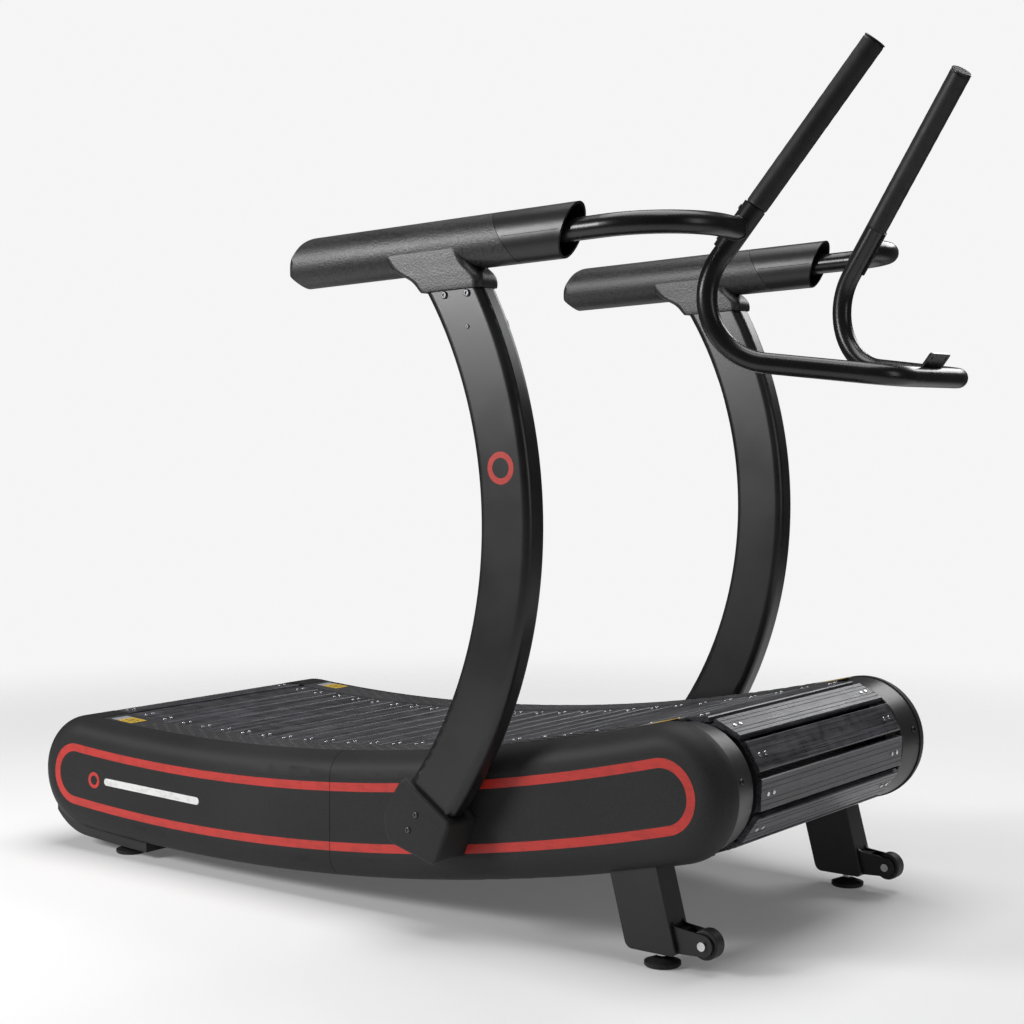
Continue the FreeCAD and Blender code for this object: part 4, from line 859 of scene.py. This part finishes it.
def parting_line(out):
    """Strip along the handrest's middle line, on its outer (out = 1) or inner (-1) face."""
    x, _, z = rail_point(np.linspace(TIP_REAR, TIP_FRONT, 12))
    y = RAIL_Y + out * (REST_HALF_WIDTH + np.array([-SUNK, LINE_LIFT, LINE_LIFT, -SUNK]))
    up = LINE_HALF * np.array([-1.0, -0.8, 0.8, 1.0])
    return np.stack(np.broadcast_arrays(x[:, None], y, z[:, None] + up), axis=-1)


for side, side_name in SIDES:
    for face_name, out in (("outer", 1.0), ("inner", -1.0)):
        line = mirror_y(wound(parting_line(out), out > 0), side)
        line = mesh_piece(f"tip_parting_{face_name}_{side_name}", line, smooth=False)
        dress(line, "frame", groove_shade_and_joint_black)


# %% [markdown]
# ## Floor
#
# A plain pale floor that fades into the backdrop.  Its material mixes a matt white with
# nothing at all: the further from the machine, the clearer it gets, so no edge shows.
# A faint glow stands for the light that a white room throws back under the machine.

# %% Floor
FLOOR_GLOW = 0.10
FADE_START, FADE_END = 1.5, 3.3


def floor_finish():
    f = Finish("studio_floor", Roughness=0.9, Specular_IOR_Level=0.0, Emission_Strength=FLOOR_GLOW)
    here = f.node("ShaderNodeTexCoord", output="Object")
    away = f.node("ShaderNodeVectorMath", {"operation": "LENGTH"}, {0: here}, output=1)
    f.feed(f.shader.inputs["Base Color"], f.tint(grey(0.73), grey(0.75), f.noise(3.0)))
    solid = Wave(f, f.shader.outputs["BSDF"])
    clear = f.node("ShaderNodeBsdfTransparent")
    fade = away.above(FADE_START, FADE_END)
    mixed = f.node("ShaderNodeMixShader", values={0: fade, 1: solid, 2: clear})
    f.feed(f.tree.nodes["Material Output"].inputs["Surface"], mixed)
    return f.material


# %% The floor's disc
FLOOR_REACH = 4.4
FLOOR_RINGS, FLOOR_SPOKES = 12, 64
FLOOR_Z = -0.0004
reach = np.linspace(0.02, FLOOR_REACH, FLOOR_RINGS)[::-1, None]
turns = np.linspace(0, 2 * math.pi, FLOOR_SPOKES, endpoint=False)
disc = [reach * np.cos(turns), reach * np.sin(turns), np.full((FLOOR_RINGS, FLOOR_SPOKES), FLOOR_Z)]
floor = mesh_piece("studio_floor", np.stack(disc, axis=-1), lids=False, smooth=False)
floor.data.materials.append(floor_finish())


# %% [markdown]
# ## Light and camera
#
# Black objects are drawn by what they reflect, so the studio has large soft boxes: one
# overhead, one behind the runner's right shoulder, a tall one in front, and one beyond the
# left side that draws the far edges.  The backdrop is bright to the camera but dim as a light,
# which keeps the blacks deep.
#
# The camera stands front right of the machine at hip height, with a short telephoto lens.

# %% Backdrop
def backdrop(seen=0.915, lighting=0.06):
    """White all round: one strength where the camera sees it, another where it lights."""
    world = bpy.data.worlds.new("studio")
    world.use_nodes = True
    studio = NodeMaker(world.node_tree)
    background = studio.tree.nodes["Background"]
    background.inputs["Color"].default_value = grey(1.0)
    to_camera = studio.node("ShaderNodeLightPath", output="Is Camera Ray")
    values = {"Value": to_camera, "To Min": lighting, "To Max": seen}
    studio.feed(background.inputs["Strength"], studio.node("ShaderNodeMapRange", values=values))
    bpy.context.scene.world = world
    return world


print("backdrop", backdrop().name)


# %% Soft boxes
def soft_box(name, place, aim, width, height, watts):
    """Rectangle of light at a place, facing the point it is aimed at."""
    lamp = bpy.data.lights.new(name, "AREA")
    lamp.shape = "RECTANGLE"
    lamp.size, lamp.size_y, lamp.energy = width, height, watts
    holder = bpy.data.objects.new(name, lamp)
    holder.location = place
    way = Vector(aim) - Vector(place)
    holder.rotation_euler = way.to_track_quat("-Z", "Y").to_euler()
    bpy.context.scene.collection.objects.link(holder)
    print(name, watts, "W")


soft_box("overhead", (0.1, 0.1, 4.2), (0.1, 0.0, 0.3), 3.6, 3.2, 150)
soft_box("key_rear_right", (-1.85, -2.9, 1.80), (0.1, -0.3, 0.95), 1.2, 1.0, 88)
soft_box("front_fill", (4.2, -0.4, 1.5), (0.5, 0.0, 0.5), 0.9, 2.2, 14)
soft_box("left_rim", (0.9, 3.6, 2.8), (0.0, 0.0, 0.8), 2.2, 1.0, 45)


# %% Camera
EYE = np.array([2.1250, -2.7328, 0.8563])
AZIMUTH, PITCH, ROLL = np.radians([36.25, 2.393, 0.194])
ahead = np.array([-math.sin(AZIMUTH), math.cos(AZIMUTH), -math.tan(PITCH)]) * math.cos(PITCH)
level_right = np.cross(ahead, [0.0, 0.0, 1.0])
level_right /= np.linalg.norm(level_right)
level_up = np.cross(level_right, ahead)
right = math.cos(ROLL) * level_right + math.sin(ROLL) * level_up
up = math.cos(ROLL) * level_up - math.sin(ROLL) * level_right

lens = bpy.data.cameras.new("portrait_lens")
lens.lens = 65.71
lens.sensor_width = 36.0
lens.shift_x, lens.shift_y = -0.0391, -0.0195
camera = bpy.data.objects.new("portrait_camera", lens)
matrix = np.eye(4)
matrix[:3, :3] = np.column_stack([right, up, -ahead])
matrix[:3, 3] = EYE
camera.matrix_world = Matrix(matrix.tolist())
bpy.context.scene.collection.objects.link(camera)
bpy.context.scene.camera = camera
bpy.context.scene.view_settings.view_transform = "Standard"
print("camera at", EYE, "looking", ahead.round(3))
